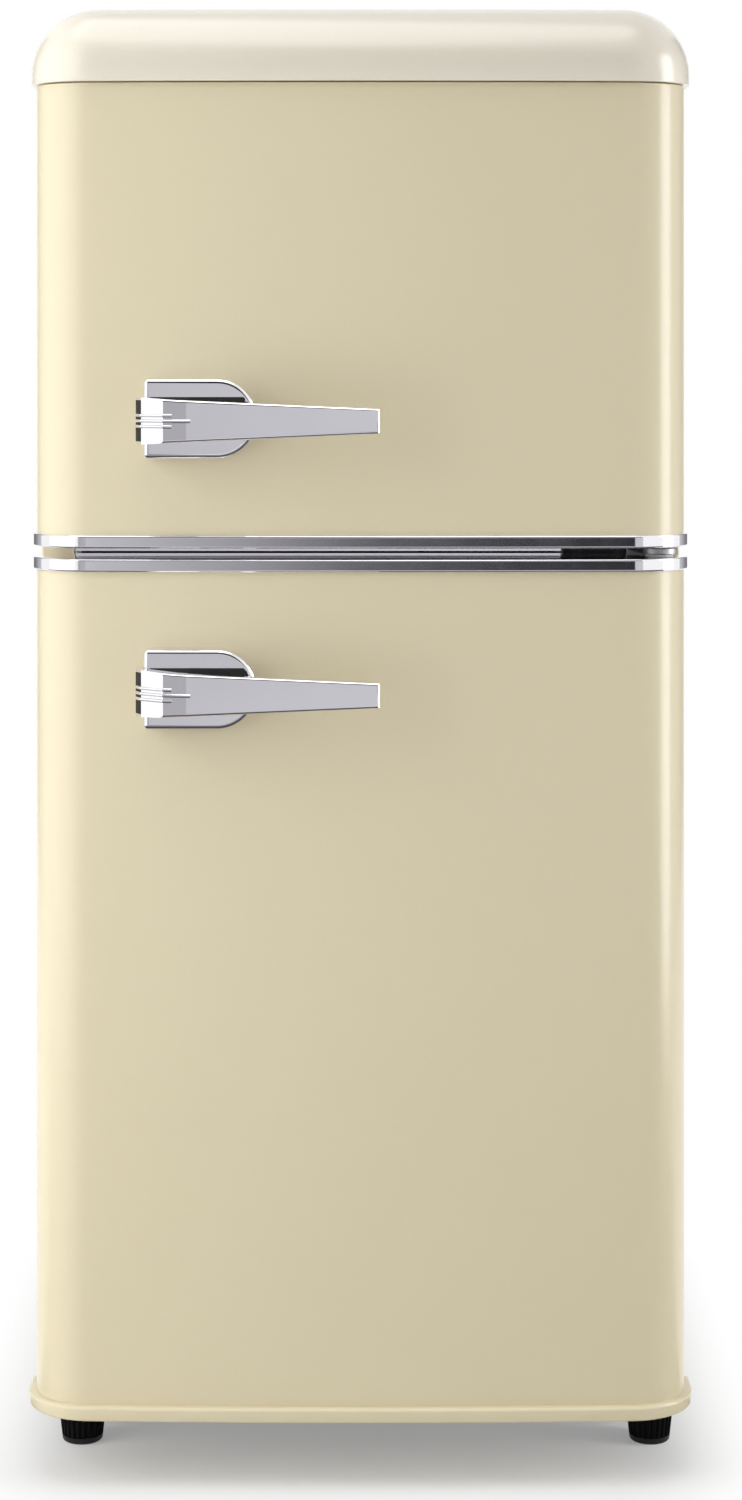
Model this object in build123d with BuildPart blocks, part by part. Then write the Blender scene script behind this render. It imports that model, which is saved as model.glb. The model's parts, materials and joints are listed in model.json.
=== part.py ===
from build123d import *
import os
from math import atan2, degrees, sqrt

# Two-door mini fridge. Millimetres, X to the right, -Y to the front, Z up from the floor

# Whole fridge
door_width = 400.0
total_height = 900.0
cabinet_depth = 415.0
door_depth = 54.0
gasket_gap = 11.0
handle_reach = 36.0
door_bow = 5.0
door_corner = 36.0

# Heights that show at the front
floor_clearance = 39.5
door_lift = 1.5
base_trim_height = 9.0
chrome_height = 7.8
top_end_height = 3.0
top_end_round = 1.0
door_split_z = 566.25
door_gap = 6.5
cap_height = 47.2
cap_door_gap = 1.8

# How far trims and cap stand out from the door skin
base_trim_proud = 4.75
chrome_proud = 2.5
cap_proud = 3.5
trim_round = 1.5
base_trim_round = 3.0

# Moulded top cap
cap_corner = 42.0
cap_round = 41.0
cap_wall = 3.0
cap_spare = 0.5
cap_overlap = 3.2
cap_rib = 2.5
cap_rib_pitch = 90.0
cap_rib_inset = 24.0

# Sheet metal, liners and insulated walls
sheet = 0.8
shell_bend = 1.4
liner_wall = 1.6
liner_corner = 12.0
liner_round = 10.0
side_wall = 32.0
top_wall = 38.0
mullion = 56.0
bottom_wall = 44.5
back_wall = 42.0
front_flange = 20.0
bottom_lip = 24.5
side_return = 15.0
rear_flange = 14.0
rear_recess = 3.0
rail_height = 18.0

# Compressor bay at the lower back
bay_depth = 154.0
bay_height = 175.5
hump_front_wall = 34.0
hump_roof_wall = 25.0

# Doors
skin_return = 14.0
skirt_height = 8.0
skirt_wall = 2.0
skirt_fit = 0.1
door_liner_margin = 5.0
dike_wall_gap = 18.0
dike_width = 20.0
dike_end_gap = 14.0
dike_reach = 20.0
dike_corner = 14.0
gasket_width = 13.0
gasket_lip = 8.0
gasket_margin = 8.0
gasket_hinge_gap = 1.0
gasket_base = 3.0
gasket_clearance = 0.3
gasket_corner = 6.0

# Door racks
rack_reach = 50.0
rack_wall = 2.0
rack_corner = 14.0
rack_foot_round = 4.0
rack_fit = 0.6
rack_lug = 5.0
rack_lug_length = 18.0
freezer_rack_rise = 55.75
freezer_rack_height = 62.0
bottle_rack_rise = 38.0
bottle_rack_height = 96.0
upper_rack_drop = 146.25
upper_rack_height = 62.0

# Hinges on one upright axis
hinge_inset = 16.0
hinge_behind_front = 32.0
pin_diameter = 7.0
pin_clearance = 0.05
bush_diameter = 12.0
bush_flange_diameter = 17.0
bush_length = 13.0
bush_flange = 1.2
bush_fit = 0.05
pin_reach = 11.0
hinge_plate = 3.0
hinge_end_radius = 11.0
hinge_plate_width = 54.0
hinge_seat = 40.0
top_seat_inset = 4.0
bottom_seat_inset = 2.0
bracket_corner = 4.0
hinge_flange = 2.5
hinge_flange_height = 19.0
hinge_arm = 14.0
hinge_flange_gap = 3.0
running_gap = 0.3

# Levelling feet and rear feet
left_foot_inset = 24.0
right_foot_inset = 17.0
foot_behind_front = 20.0
foot_top_diameter = 31.0
foot_bottom_diameter = 25.0
foot_height = 27.0
foot_round = 2.0
foot_flutes = 24
flute_diameter = 2.6
flute_inset = 0.5
foot_socket = 13.5
foot_hollow = 12.0
foot_bore = 24.0
foot_boss = 14.0
stud_diameter = 8.0
stud_clearance = 0.05
stud_rise = 20.0
stud_well_diameter = 14.0
stud_well_height = 34.0
rear_foot_diameter = 34.0
rear_foot_tip_diameter = 28.0
rear_foot_inset = 34.0
base_plate_sheet = 2.0
base_plate_lead = 22.0
base_plate_flange = 16.0

# Handles: a base plate on the door and a one-sided lever
handle_rise = 82.15
handle_fall = 80.95
handle_inset = 69.3
handle_base_length = 68.4
handle_base_height = 48.5
handle_base_depth = 12.0
handle_base_round = 3.0
lever_overhang = 4.0
lever_length = 146.3
lever_below = 1.0
lever_thickness = 8.0
lever_facets = ((2.4, 6.6), (14.8, 10.4), (13.9, 2.4))
lever_hub = 27.7
lever_hub_fillet = 7.0
lever_wrap = 9.0
lever_fit = 0.3
lever_end_half = 14.3
lever_shoulder = 20.7
lever_shoulder_half = 12.8
lever_tip_half = 7.5
lever_round = 1.6
ridge_proud = 0.8
ridge_height = 2.0
ridge_pitch = 3.1
ridge_reach = 18.4
ridge_middle_reach = 29.6
handle_screw_diameter = 4.0
handle_screw_head = 8.0
handle_screw_head_height = 2.5
handle_screw_length = 24.0
handle_screw_inset = 13.7
handle_screw_spread = 12.0
screw_clearance = 0.2

# Shelves and drawer
shelf_front = 62.0
shelf_rear_gap = 8.0
shelf_fit = 1.0
ledge_width = 8.0
ledge_height = 6.0
glass = 4.0
trim_height = 10.0
trim_depth = 13.0
trim_wall = 2.0
freezer_shelf_rise = 109.75
upper_shelf_drop = 92.25
shelf_spacing = 102.0
cover_rise = 18.0
wire = 3.0
frame_wire = 5.0
wire_count = 13
drawer_gap = 4.0
drawer_wall = 2.0
drawer_side_gap = 14.0
drawer_corner = 12.0
drawer_floor_gap = 0.3
drawer_grip_height = 26.0
drawer_grip_width = 120.0
drawer_grip_depth = 9.0

# Thermostat on the right wall
thermostat_y = 10.0
thermostat_drop = 46.25
thermostat_length = 96.0
thermostat_height = 52.0
thermostat_depth = 26.0
thermostat_round = 6.0
thermostat_wall = 2.0
knob_diameter = 34.0
knob_depth = 12.0
knob_gap = 0.6
knob_grip = 5.0
knob_grip_inset = 2.0
knob_round = 1.2
shaft_diameter = 6.0

# Compressor and what stands beside it
compressor_x = -34.0
compressor_length = 168.0
compressor_width = 116.0
compressor_corner = 54.0
compressor_lift = 8.0
compressor_height = 142.0
compressor_dome = 24.0
compressor_heel = 8.0
seam_height = 5.0
seam_proud = 2.5
mount_sheet = 2.5
mount_lift = 14.5
mount_length = 208.0
mount_width = 104.0
mount_corner = 12.0
grommet_diameter = 22.0
grommet_neck = 13.6
grommet_cap = 3.5
bolt_diameter = 6.0
bolt_head_diameter = 11.0
bolt_head_height = 4.0
terminal_depth = 24.0
terminal_width = 60.0
terminal_height = 62.0
terminal_lift = 38.0
terminal_round = 5.0
tube_diameter = 7.0
tube_bend = 18.0
discharge_rise = 42.5
suction_rise = 102.0
capillary_diameter = 3.0
drier_diameter = 19.0
drier_length = 84.0
drier_inset = 50.0
drier_drop = 123.0
pan_height = 16.0
pan_wall = 1.8
pan_length = 128.0
pan_width = 76.0
pan_corner = 14.0
drain_diameter = 14.0
drain_bore = 10.0
drain_offset = 40.0
gland_diameter = 16.0
gland_bore = 8.2
gland_lip_diameter = 21.0
gland_inset = 80.0

# Coils in the walls
condenser_diameter = 4.8
condenser_pocket = 6.0
condenser_margin = 46.0
condenser_runs = 8
coil_bend_share = 0.45
least_corner = 1.0
evaporator_sheet = 1.5
evaporator_channel = 5.0
evaporator_pocket = 7.0
evaporator_margin = 26.0
evaporator_runs = 6

# Fasteners
screw_diameter = 4.0
screw_head = 8.0
screw_head_height = 2.0
screw_length = 12.0
back_screw_pitch = 240.0
hinge_screw_offsets = (47.0, 23.5)
top_screw_offsets = (30.0, 6.0)
top_screw_reach = 22.0
plate_screw_offset = 36.0
plate_screw_reaches = (14.0, 34.0)
base_screw_inset = 14.0

# Places worked out from the driving dimensions
half_width = door_width / 2
back_y = (handle_reach + door_depth + gasket_gap + cabinet_depth) / 2
cabinet_front = back_y - cabinet_depth
door_back = cabinet_front - gasket_gap
door_front = door_back - door_depth
handle_front = door_front - handle_reach
cap_lip_z = total_height - cap_height
cabinet_top = cap_lip_z + cap_overlap
freezer_bottom = door_split_z + door_gap / 2
freezer_top = cap_lip_z - cap_door_gap
fridge_bottom = floor_clearance + door_lift
fridge_top = door_split_z - door_gap / 2
cavity_half = half_width - side_wall
cavity_back = back_y - back_wall
freezer_floor = door_split_z + mullion / 2
freezer_roof = cabinet_top - top_wall
fridge_floor = floor_clearance + bottom_wall
fridge_roof = door_split_z - mullion / 2
bay_front = back_y - bay_depth
bay_top = floor_clearance + bay_height
hump_y = bay_front - hump_front_wall
hump_z = bay_top + hump_roof_wall
panel_y = back_y - rear_recess
foam_back = panel_y - sheet
foam_bottom = floor_clearance + 2 * sheet
foam_front = cabinet_front + liner_wall
hinge_x = half_width - hinge_inset
hinge_y = door_front + hinge_behind_front
pin_radius = pin_diameter / 2
bush_bore = pin_radius + pin_clearance
gasket_half = hinge_x - gasket_hinge_gap
gasket_back = cabinet_front - gasket_clearance
dike_half = cavity_half - dike_wall_gap
rack_half = dike_half - dike_width - rack_fit
rack_front = door_back + liner_wall
left_foot_x = -half_width + left_foot_inset
right_foot_x = half_width - right_foot_inset
foot_y = cabinet_front + foot_behind_front
plate_z = floor_clearance - hinge_plate
base_plate_z = floor_clearance - base_plate_sheet
shelf_y = cabinet_front + shelf_front
shelf_back = cavity_back - shelf_rear_gap
freezer_shelf_z = freezer_floor + freezer_shelf_rise
upper_shelf_z = fridge_roof - upper_shelf_drop
lower_shelf_z = upper_shelf_z - shelf_spacing
cover_z = hump_z + cover_rise
freezer_rack_z = freezer_floor + freezer_rack_rise
bottle_rack_z = fridge_floor + bottle_rack_rise
upper_rack_z = fridge_roof - upper_rack_drop
thermostat_z = fridge_roof - thermostat_drop
freezer_handle_z = door_split_z + handle_rise
fridge_handle_z = door_split_z - handle_fall
handle_left = handle_inset - half_width
handle_screw_x = handle_left + handle_screw_inset
lever_left = handle_left - lever_overhang
lever_right = lever_left + lever_length
lever_hub_end = handle_left + lever_hub
lever_shoulder_x = handle_left + lever_shoulder
bay_y = (bay_front + foam_back) / 2
mount_z = floor_clearance + mount_lift
drier_x = half_width - drier_inset
gland_x = half_width - gland_inset
middle_plate_z = door_split_z - hinge_plate / 2
bow_radius = (half_width**2 + door_bow**2) / (2 * door_bow)
bow_center_y = door_front + bow_radius
past = 1.0

os.makedirs("parts", exist_ok=True)


def save(piece, name):
    """Label one finished piece and write it to its own file."""
    piece.part.label = name
    export_step(piece.part, f"parts/{name}.step")


def front_plane(y):
    """A plane at depth y that faces the front: its X is the fridge's X, its Y is up."""
    return Plane.XZ.offset(-y)


def bow_y(x, grow=0.0):
    """Depth of the bowed door front at x, moved out by grow."""
    return bow_center_y - sqrt((bow_radius + grow) ** 2 - x**2)


def door_plan(z, grow, back, corner):
    """Plan outline of a door at height z: bowed front, two rounded corners, straight back."""
    half = half_width + grow
    edge = bow_y(half, grow)
    with BuildSketch(Plane.XY.offset(z)) as plan:
        with BuildLine():
            front = ThreePointArc((-half, edge), (0, door_front - grow), (half, edge))
            Polyline(front @ 1, (half, back), (-half, back), front @ 0)
        make_face()
        fillet(plan.vertices().group_by(Axis.Y)[0], corner)
    return plan.sketch


def upright_face(y, half, low, high, corner=0.0):
    """An upright rectangle at depth y, centred across the fridge."""
    with BuildSketch(front_plane(y)) as face:
        with Locations((0, (low + high) / 2)):
            Rectangle(2 * half, high - low)
        if corner > 0:
            fillet(face.vertices(), corner)
    return face.sketch


def ring_face(y, half, low, high, width, corner):
    """An upright rectangular ring at depth y, with rounded corners outside and inside."""
    with BuildSketch(front_plane(y)) as ring:
        with Locations((0, (low + high) / 2)):
            RectangleRounded(2 * half, high - low, corner)
            inner_corner = max(corner - width, least_corner)
            RectangleRounded(2 * (half - width), high - low - 2 * width, inner_corner, mode=Mode.SUBTRACT)
    return ring.sketch


def block(x, y, z, mode=Mode.ADD):
    """A box between two values of each of x, y and z, joined to the open part."""
    with Locations(((x[0] + x[1]) / 2, (y[0] + y[1]) / 2, (z[0] + z[1]) / 2)):
        Box(x[1] - x[0], y[1] - y[0], z[1] - z[0], mode=mode)


def post(x, y, low, high, radius, mode=Mode.ADD):
    """An upright round bar between two heights."""
    with Locations((x, y, (low + high) / 2)):
        Cylinder(radius, high - low, mode=mode)


def screw(place, outward, radius, length, head_radius, head_height):
    """A screw whose head stands on the surface at place, with its shank the other way."""
    with Locations(Plane(origin=place, z_dir=outward)):
        Cylinder(head_radius, head_height, align=(Align.CENTER, Align.CENTER, Align.MIN))
        Cylinder(radius, length, align=(Align.CENTER, Align.CENTER, Align.MAX))


def drill(place, outward, radius, depth):
    """A round hole from the surface at place, inwards for depth."""
    with Locations(Plane(origin=place, z_dir=outward)):
        Cylinder(radius, depth, align=(Align.CENTER, Align.CENTER, Align.MAX), mode=Mode.SUBTRACT)
        Cylinder(radius, past, align=(Align.CENTER, Align.CENTER, Align.MIN), mode=Mode.SUBTRACT)


def tube(points, radius, bend):
    """A round tube along straight runs joined by tangent arcs."""
    with BuildPart() as piece:
        with BuildLine() as path:
            FilletPolyline(*points, radius=bend)
        with BuildSketch(Plane(origin=path.line @ 0, z_dir=path.line % 0)):
            Circle(radius)
        sweep(path=path.line)
    return piece.part


def serpentine(half, low, high, runs, y):
    """Points of a flat coil at depth y that runs from side to side as it climbs."""
    pitch = (high - low) / (runs - 1)
    points = []
    for run in range(runs):
        side = half if run % 2 else -half
        points.append((side, y, low + run * pitch))
        points.append((-side, y, low + run * pitch))
    return points, coil_bend_share * pitch


def liner_volume(low, high, grow, front, hump):
    """The space inside a liner, or out to its foam side when grown by the liner's wall."""
    back = cavity_back + grow
    points = [(front, low - grow), (back, low - grow), (back, high + grow), (front, high + grow)]
    if hump:
        step = [(hump_y + grow, low - grow), (hump_y + grow, hump_z - grow), (back, hump_z - grow)]
        points[1:2] = step
    with BuildPart() as volume:
        with BuildSketch(Plane.YZ) as profile:
            with BuildLine():
                Polyline(*points, close=True)
            make_face()
            fillet(profile.vertices().filter_by(lambda v: v.X > front + past), liner_corner)
        extrude(amount=cavity_half + grow, both=True)
        sides = volume.faces().filter_by(Axis.X).edges()
        fillet(sides.filter_by(lambda e: e.center().Y > front + past), liner_round)
    return volume.part


def cap_block(grow, low, high, back, corner, rounding):
    """The cap's bullnosed block: bowed in plan, rounded over at the front and both sides."""
    with BuildPart() as body:
        extrude(door_plan(low, grow, back, corner), amount=high - low)
        fillet(body.faces().sort_by(Axis.Z)[-1].edges().sort_by(Axis.Y)[:-1], rounding)
    return body.part


# Screws that hold the hinges, brackets, base plate and back panel: place and outward direction
hinge_screws = [
    ((hinge_x - offset, cabinet_front - hinge_flange, door_split_z), (0, -1, 0))
    for offset in hinge_screw_offsets
]
top_screws = [
    ((hinge_x - offset, cabinet_front + top_screw_reach, cabinet_top + hinge_plate), (0, 0, 1))
    for offset in top_screw_offsets
]
right_screws = [
    ((hinge_x - plate_screw_offset, cabinet_front + reach, plate_z), (0, 0, -1))
    for reach in plate_screw_reaches
]
left_screws = [((-place[0], place[1], place[2]), outward) for place, outward in right_screws]
base_screws = [
    ((side * (half_width - side_return / 2), y, base_plate_z), (0, 0, -1))
    for side in (-1, 1)
    for y in (bay_front + base_screw_inset, foam_back - base_screw_inset)
]
back_middle_z = (bay_top + cabinet_top) / 2
back_screw_x = half_width - rear_flange / 2
back_screws = [
    ((side * back_screw_x, panel_y + sheet, back_middle_z + step * back_screw_pitch), (0, 1, 0))
    for side in (-1, 1)
    for step in (-1, 0, 1)
]
shank = screw_diameter / 2
shank_hole = shank + screw_clearance
handle_screw_hole = handle_screw_diameter / 2 + screw_clearance

freezer_space = liner_volume(freezer_floor, freezer_roof, 0, cabinet_front - past, False)
freezer_outside = liner_volume(freezer_floor, freezer_roof, liner_wall, cabinet_front, False)
fridge_space = liner_volume(fridge_floor, fridge_roof, 0, cabinet_front - past, True)
fridge_outside = liner_volume(fridge_floor, fridge_roof, liner_wall, cabinet_front, True)

# Folded steel wrapper: both sides and the top, with returns at the front, back and bottom
with BuildPart() as cabinet_shell:
    block((-half_width, half_width), (cabinet_front, back_y), (floor_clearance, cabinet_top))
    bends = cabinet_shell.faces().sort_by(Axis.Y)[0].edges().sort_by(Axis.Z)[1:]
    bends += cabinet_shell.edges().filter_by(Axis.Y).group_by(Axis.Z)[-1]
    fillet(bends, shell_bend)
    inside = half_width - sheet
    block((-inside, inside), (cabinet_front + sheet, back_y + past),
          (floor_clearance + sheet, cabinet_top - sheet), mode=Mode.SUBTRACT)
    inside = half_width - side_return
    block((-inside, inside), (cabinet_front - past, back_y + past),
          (floor_clearance - past, floor_clearance + sheet), mode=Mode.SUBTRACT)
    inside = half_width - front_flange
    block((-inside, inside), (cabinet_front - past, cabinet_front + 2 * sheet),
          (floor_clearance - past, cabinet_top - front_flange), mode=Mode.SUBTRACT)
    for side in (-1, 1):
        edges = sorted((side * (half_width - sheet / 2), side * (half_width - rear_flange)))
        block(edges, (foam_back, panel_y), (floor_clearance + sheet / 2, cabinet_top - sheet / 2))
    inside = half_width - sheet
    block((-inside, inside), (foam_back, panel_y), (cabinet_top - rear_flange, cabinet_top - sheet / 2))
    for x in (left_foot_x, right_foot_x):
        post(x, foot_y, floor_clearance - past, foam_bottom, stud_well_diameter / 2, mode=Mode.SUBTRACT)
    for place, outward in top_screws + base_screws + back_screws:
        drill(place, outward, shank_hole, screw_length)
save(cabinet_shell, "cabinet_shell")

# Bottom sheet that steps up over the compressor bay
with BuildPart() as bottom_panel:
    low = floor_clearance + sheet
    with BuildSketch(Plane.YZ):
        with BuildLine():
            Polyline(
                (cabinet_front + sheet, low), (bay_front, low), (bay_front, bay_top), (foam_back, bay_top),
                (foam_back, bay_top + sheet), (bay_front - sheet, bay_top + sheet),
                (bay_front - sheet, low + sheet), (cabinet_front + sheet, low + sheet), close=True,
            )
        make_face()
    extrude(amount=half_width - sheet, both=True)
    inside = half_width - front_flange
    block((-inside, inside), (cabinet_front, cabinet_front + sheet), (low, floor_clearance + bottom_lip))
    for x in (left_foot_x, right_foot_x):
        post(x, foot_y, low - past, low + sheet + past, stud_well_diameter / 2, mode=Mode.SUBTRACT)
    for place, outward in left_screws + right_screws:
        drill(place, outward, shank_hole, screw_length)
save(bottom_panel, "bottom_panel")

# Foam between the wrapper and the liners, with pockets for the coils and wells for the foot studs
with BuildPart() as cabinet_insulation:
    with BuildSketch(Plane.YZ):
        with BuildLine():
            Polyline(
                (foam_front, foam_bottom), (bay_front - sheet, foam_bottom),
                (bay_front - sheet, bay_top + sheet), (foam_back, bay_top + sheet),
                (foam_back, cabinet_top - sheet), (foam_front, cabinet_top - sheet), close=True,
            )
        make_face()
    extrude(amount=half_width - sheet, both=True)
    add(freezer_outside, mode=Mode.SUBTRACT)
    add(fridge_outside, mode=Mode.SUBTRACT)
    pocket_margin = condenser_margin - condenser_diameter
    inside = half_width - pocket_margin
    block((-inside, inside), (foam_back - condenser_pocket, foam_back + past),
          (bay_top + pocket_margin, cabinet_top - pocket_margin), mode=Mode.SUBTRACT)
    inside = cavity_half - evaporator_margin
    pocket = (cavity_back + liner_wall - past, cavity_back + liner_wall + evaporator_pocket)
    block((-inside, inside), pocket, (freezer_floor + evaporator_margin, freezer_roof - evaporator_margin),
          mode=Mode.SUBTRACT)
    block((-inside, inside), pocket, (hump_z + evaporator_margin, fridge_roof - evaporator_margin),
          mode=Mode.SUBTRACT)
    for x in (left_foot_x, right_foot_x):
        well_top = foam_bottom + stud_well_height
        post(x, foot_y, foam_bottom - past, well_top, stud_well_diameter / 2, mode=Mode.SUBTRACT)
    for place, outward in hinge_screws + top_screws + left_screws + right_screws + back_screws:
        drill(place, outward, shank_hole, screw_length + past)
save(cabinet_insulation, "cabinet_insulation")


def add_ledges(z, low_front):
    """A pair of shelf ledges on the side walls of a liner, with their tops at z."""
    for side in (-1, 1):
        edges = sorted((side * (cavity_half - ledge_width), side * (cavity_half + liner_wall / 2)))
        block(edges, (low_front, shelf_back - trim_depth), (z - ledge_height, z))


# White liners of the two compartments
with BuildPart() as freezer_liner:
    add(freezer_outside)
    flange_low = door_split_z + rail_height / 2
    flange = upright_face(foam_front, half_width - front_flange, flange_low, cabinet_top - front_flange)
    extrude(flange, amount=liner_wall)
    add(freezer_space, mode=Mode.SUBTRACT)
    add_ledges(freezer_shelf_z, shelf_y)
save(freezer_liner, "freezer_liner")

with BuildPart() as fridge_liner:
    add(fridge_outside)
    flange_high = door_split_z - rail_height / 2
    flange = upright_face(foam_front, half_width - front_flange, floor_clearance + bottom_lip, flange_high)
    extrude(flange, amount=liner_wall)
    add(fridge_space, mode=Mode.SUBTRACT)
    for z in (upper_shelf_z, lower_shelf_z, cover_z):
        add_ledges(z, shelf_y + trim_depth + trim_wall)
save(fridge_liner, "fridge_liner")

# Steel rail across the front between the compartments
with BuildPart() as mullion_rail:
    inside = half_width - front_flange
    block((-inside, inside), (cabinet_front, foam_front),
          (door_split_z - rail_height / 2, door_split_z + rail_height / 2))
    for place, outward in hinge_screws:
        drill(place, outward, shank_hole, screw_length)
save(mullion_rail, "mullion_rail")

with BuildPart() as back_panel:
    inside = half_width - sheet
    panel = upright_face(panel_y + sheet, inside, bay_top - rear_flange, cabinet_top - sheet)
    extrude(panel, amount=sheet)
    for place, outward in back_screws:
        drill(place, outward, shank_hole, screw_length)
save(back_panel, "back_panel")

# Moulded top cap: a bullnosed shell that stands on the cabinet by its ribs
cap_rounding = min(cap_round, cap_corner - cap_spare, total_height - cap_lip_z - cap_spare)
cap_form = cap_block(cap_proud, cap_lip_z, total_height, back_y, cap_corner, cap_rounding)
cap_space = cap_block(cap_proud - cap_wall, cap_lip_z - past, total_height - cap_wall, back_y - cap_wall,
                      cap_corner - cap_wall, cap_rounding - cap_wall)
with BuildPart() as top_cap:
    add(cap_form)
    add(cap_space, mode=Mode.SUBTRACT)
    for place in (-1, 0, 1):
        middle = place * cap_rib_pitch
        block((middle - cap_rib / 2, middle + cap_rib / 2),
              (cabinet_front + cap_rib_inset, back_y - cap_rib_inset),
              (cabinet_top, total_height - cap_wall / 2))
    inside = half_width + cap_proud - cap_wall
    block((-inside, inside), (back_y - cap_wall - past, back_y + past), (cap_lip_z - past, cabinet_top),
          mode=Mode.SUBTRACT)
save(top_cap, "top_cap")


def hinge_leaf(z, seat_x, seat_width, seat_y, seat_depth):
    """Plan of a hinge plate: a seat on the cabinet that tapers to a round end on the axis."""
    with BuildSketch(Plane.XY.offset(z)) as leaf:
        with Locations((hinge_x, hinge_y)):
            Circle(hinge_end_radius)
        with Locations((seat_x, seat_y)):
            Rectangle(seat_width, seat_depth)
        make_hull()
    return leaf.sketch


# Hinges: plates with their pins
seat_right = half_width - sheet - past
seat_middle = seat_right - hinge_plate_width / 2
with BuildPart() as top_hinge:
    seat_y = cabinet_front + top_seat_inset + hinge_seat / 2
    seat = hinge_leaf(cabinet_top, seat_middle, hinge_plate_width, seat_y, hinge_seat)
    extrude(seat, amount=hinge_plate)
    post(hinge_x, hinge_y, freezer_top - pin_reach, cabinet_top + hinge_plate, pin_radius)
    for place, outward in top_screws:
        drill(place, outward, shank_hole, screw_length)
save(top_hinge, "top_hinge")

with BuildPart() as middle_hinge:
    flange_right = hinge_x - hinge_flange_gap
    flange_left = flange_right - hinge_plate_width
    block((flange_left, flange_right), (cabinet_front - hinge_flange, cabinet_front),
          (door_split_z - hinge_flange_height / 2, door_split_z + hinge_flange_height / 2))
    arm_y = cabinet_front - hinge_flange / 2
    arm = hinge_leaf(middle_plate_z, flange_right - hinge_arm / 2, hinge_arm, arm_y, hinge_flange)
    extrude(arm, amount=hinge_plate)
    post(hinge_x, hinge_y, fridge_top - pin_reach, freezer_bottom + pin_reach, pin_radius)
    for place, outward in hinge_screws:
        drill(place, outward, shank_hole, screw_length)
save(middle_hinge, "middle_hinge")

bottom_seat_y = cabinet_front + bottom_seat_inset + hinge_seat / 2
stud_hole = stud_diameter / 2 + stud_clearance
with BuildPart() as bottom_hinge:
    seat = hinge_leaf(plate_z, seat_middle, hinge_plate_width, bottom_seat_y, hinge_seat)
    extrude(seat, amount=hinge_plate)
    post(hinge_x, hinge_y, plate_z, fridge_bottom + pin_reach, pin_radius)
    post(right_foot_x, foot_y, plate_z - past, floor_clearance + past, stud_hole, mode=Mode.SUBTRACT)
    for place, outward in right_screws:
        drill(place, outward, shank_hole, screw_length)
save(bottom_hinge, "bottom_hinge")

with BuildPart() as left_foot_bracket:
    with BuildSketch(Plane.XY.offset(plate_z)):
        with Locations((-seat_middle, bottom_seat_y)):
            RectangleRounded(hinge_plate_width, hinge_seat, bracket_corner)
    extrude(amount=hinge_plate)
    post(left_foot_x, foot_y, plate_z - past, floor_clearance + past, stud_hole, mode=Mode.SUBTRACT)
    for place, outward in left_screws:
        drill(place, outward, shank_hole, screw_length)
save(left_foot_bracket, "left_foot_bracket")


def make_foot(side, x):
    """One levelling foot: a fluted, hollow knob moulded round a threaded stud."""
    lean = degrees(atan2((foot_top_diameter - foot_bottom_diameter) / 2, foot_height))
    flute_ring = (foot_top_diameter + foot_bottom_diameter) / 4 + flute_inset
    hollow_low = foot_height - foot_hollow
    with BuildPart() as knob:
        with Locations((x, foot_y, foot_height / 2)):
            Cone(foot_bottom_diameter / 2, foot_top_diameter / 2, foot_height)
        fillet(knob.edges().filter_by(GeomType.CIRCLE).sort_by(Axis.Z)[0], foot_round)
        with Locations((x, foot_y, foot_height / 2 + 2 * foot_round)):
            with PolarLocations(flute_ring, foot_flutes):
                with Locations(Location((0, 0, 0), (0, lean, 0))):
                    Cylinder(flute_diameter / 2, foot_height, mode=Mode.SUBTRACT)
        post(x, foot_y, hollow_low, foot_height + past, foot_bore / 2, mode=Mode.SUBTRACT)
        post(x, foot_y, hollow_low, foot_height, foot_boss / 2)
        post(x, foot_y, foot_height - foot_socket, foot_height + past, stud_diameter / 2, mode=Mode.SUBTRACT)
    save(knob, f"{side}_foot_knob")
    with BuildPart() as stud:
        post(x, foot_y, foot_height - foot_socket, floor_clearance + stud_rise, stud_diameter / 2)
    save(stud, f"{side}_foot_stud")


make_foot("left", left_foot_x)
make_foot("right", right_foot_x)

# Base plate under the compressor, with a turned-up rear edge, and the rear feet
gland_place = (gland_x, foam_back - past, floor_clearance + base_plate_flange / 2)
mount_places = [
    (compressor_x + side * (mount_length / 2 - mount_corner), bay_y + end * (mount_width / 2 - mount_corner))
    for side in (-1, 1)
    for end in (-1, 1)
]
with BuildPart() as base_plate:
    inside = half_width - sheet
    block((-inside, inside), (bay_front - base_plate_lead, foam_back - past), (base_plate_z, floor_clearance))
    inside = half_width - side_return - past
    block((-inside, inside), (foam_back - past - base_plate_sheet, foam_back - past),
          (base_plate_z, floor_clearance + base_plate_flange))
    for place, outward in base_screws:
        drill(place, outward, shank_hole, screw_length)
    for x, y in mount_places:
        bolt_hole = bolt_diameter / 2 + screw_clearance
        post(x, y, base_plate_z - past, floor_clearance + past, bolt_hole, mode=Mode.SUBTRACT)
    drill(gland_place, (0, 1, 0), gland_diameter / 2 + bush_fit, 2 * base_plate_sheet)
save(base_plate, "base_plate")

with BuildPart() as rear_feet:
    for side in (-1, 1):
        with Locations((side * (half_width - rear_foot_inset), back_y - rear_foot_inset, base_plate_z / 2)):
            Cone(rear_foot_tip_diameter / 2, rear_foot_diameter / 2, base_plate_z)
save(rear_feet, "rear_feet")

with BuildPart() as cord_gland:
    with Locations(Plane(origin=gland_place, z_dir=(0, 1, 0))):
        Cylinder(gland_lip_diameter / 2, 2 * past, align=(Align.CENTER, Align.CENTER, Align.MIN))
        Cylinder(gland_diameter / 2, gland_diameter / 2, align=(Align.CENTER, Align.CENTER, Align.MAX))
        Cylinder(gland_bore / 2, 2 * gland_diameter, mode=Mode.SUBTRACT)
save(cord_gland, "cord_gland")

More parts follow.
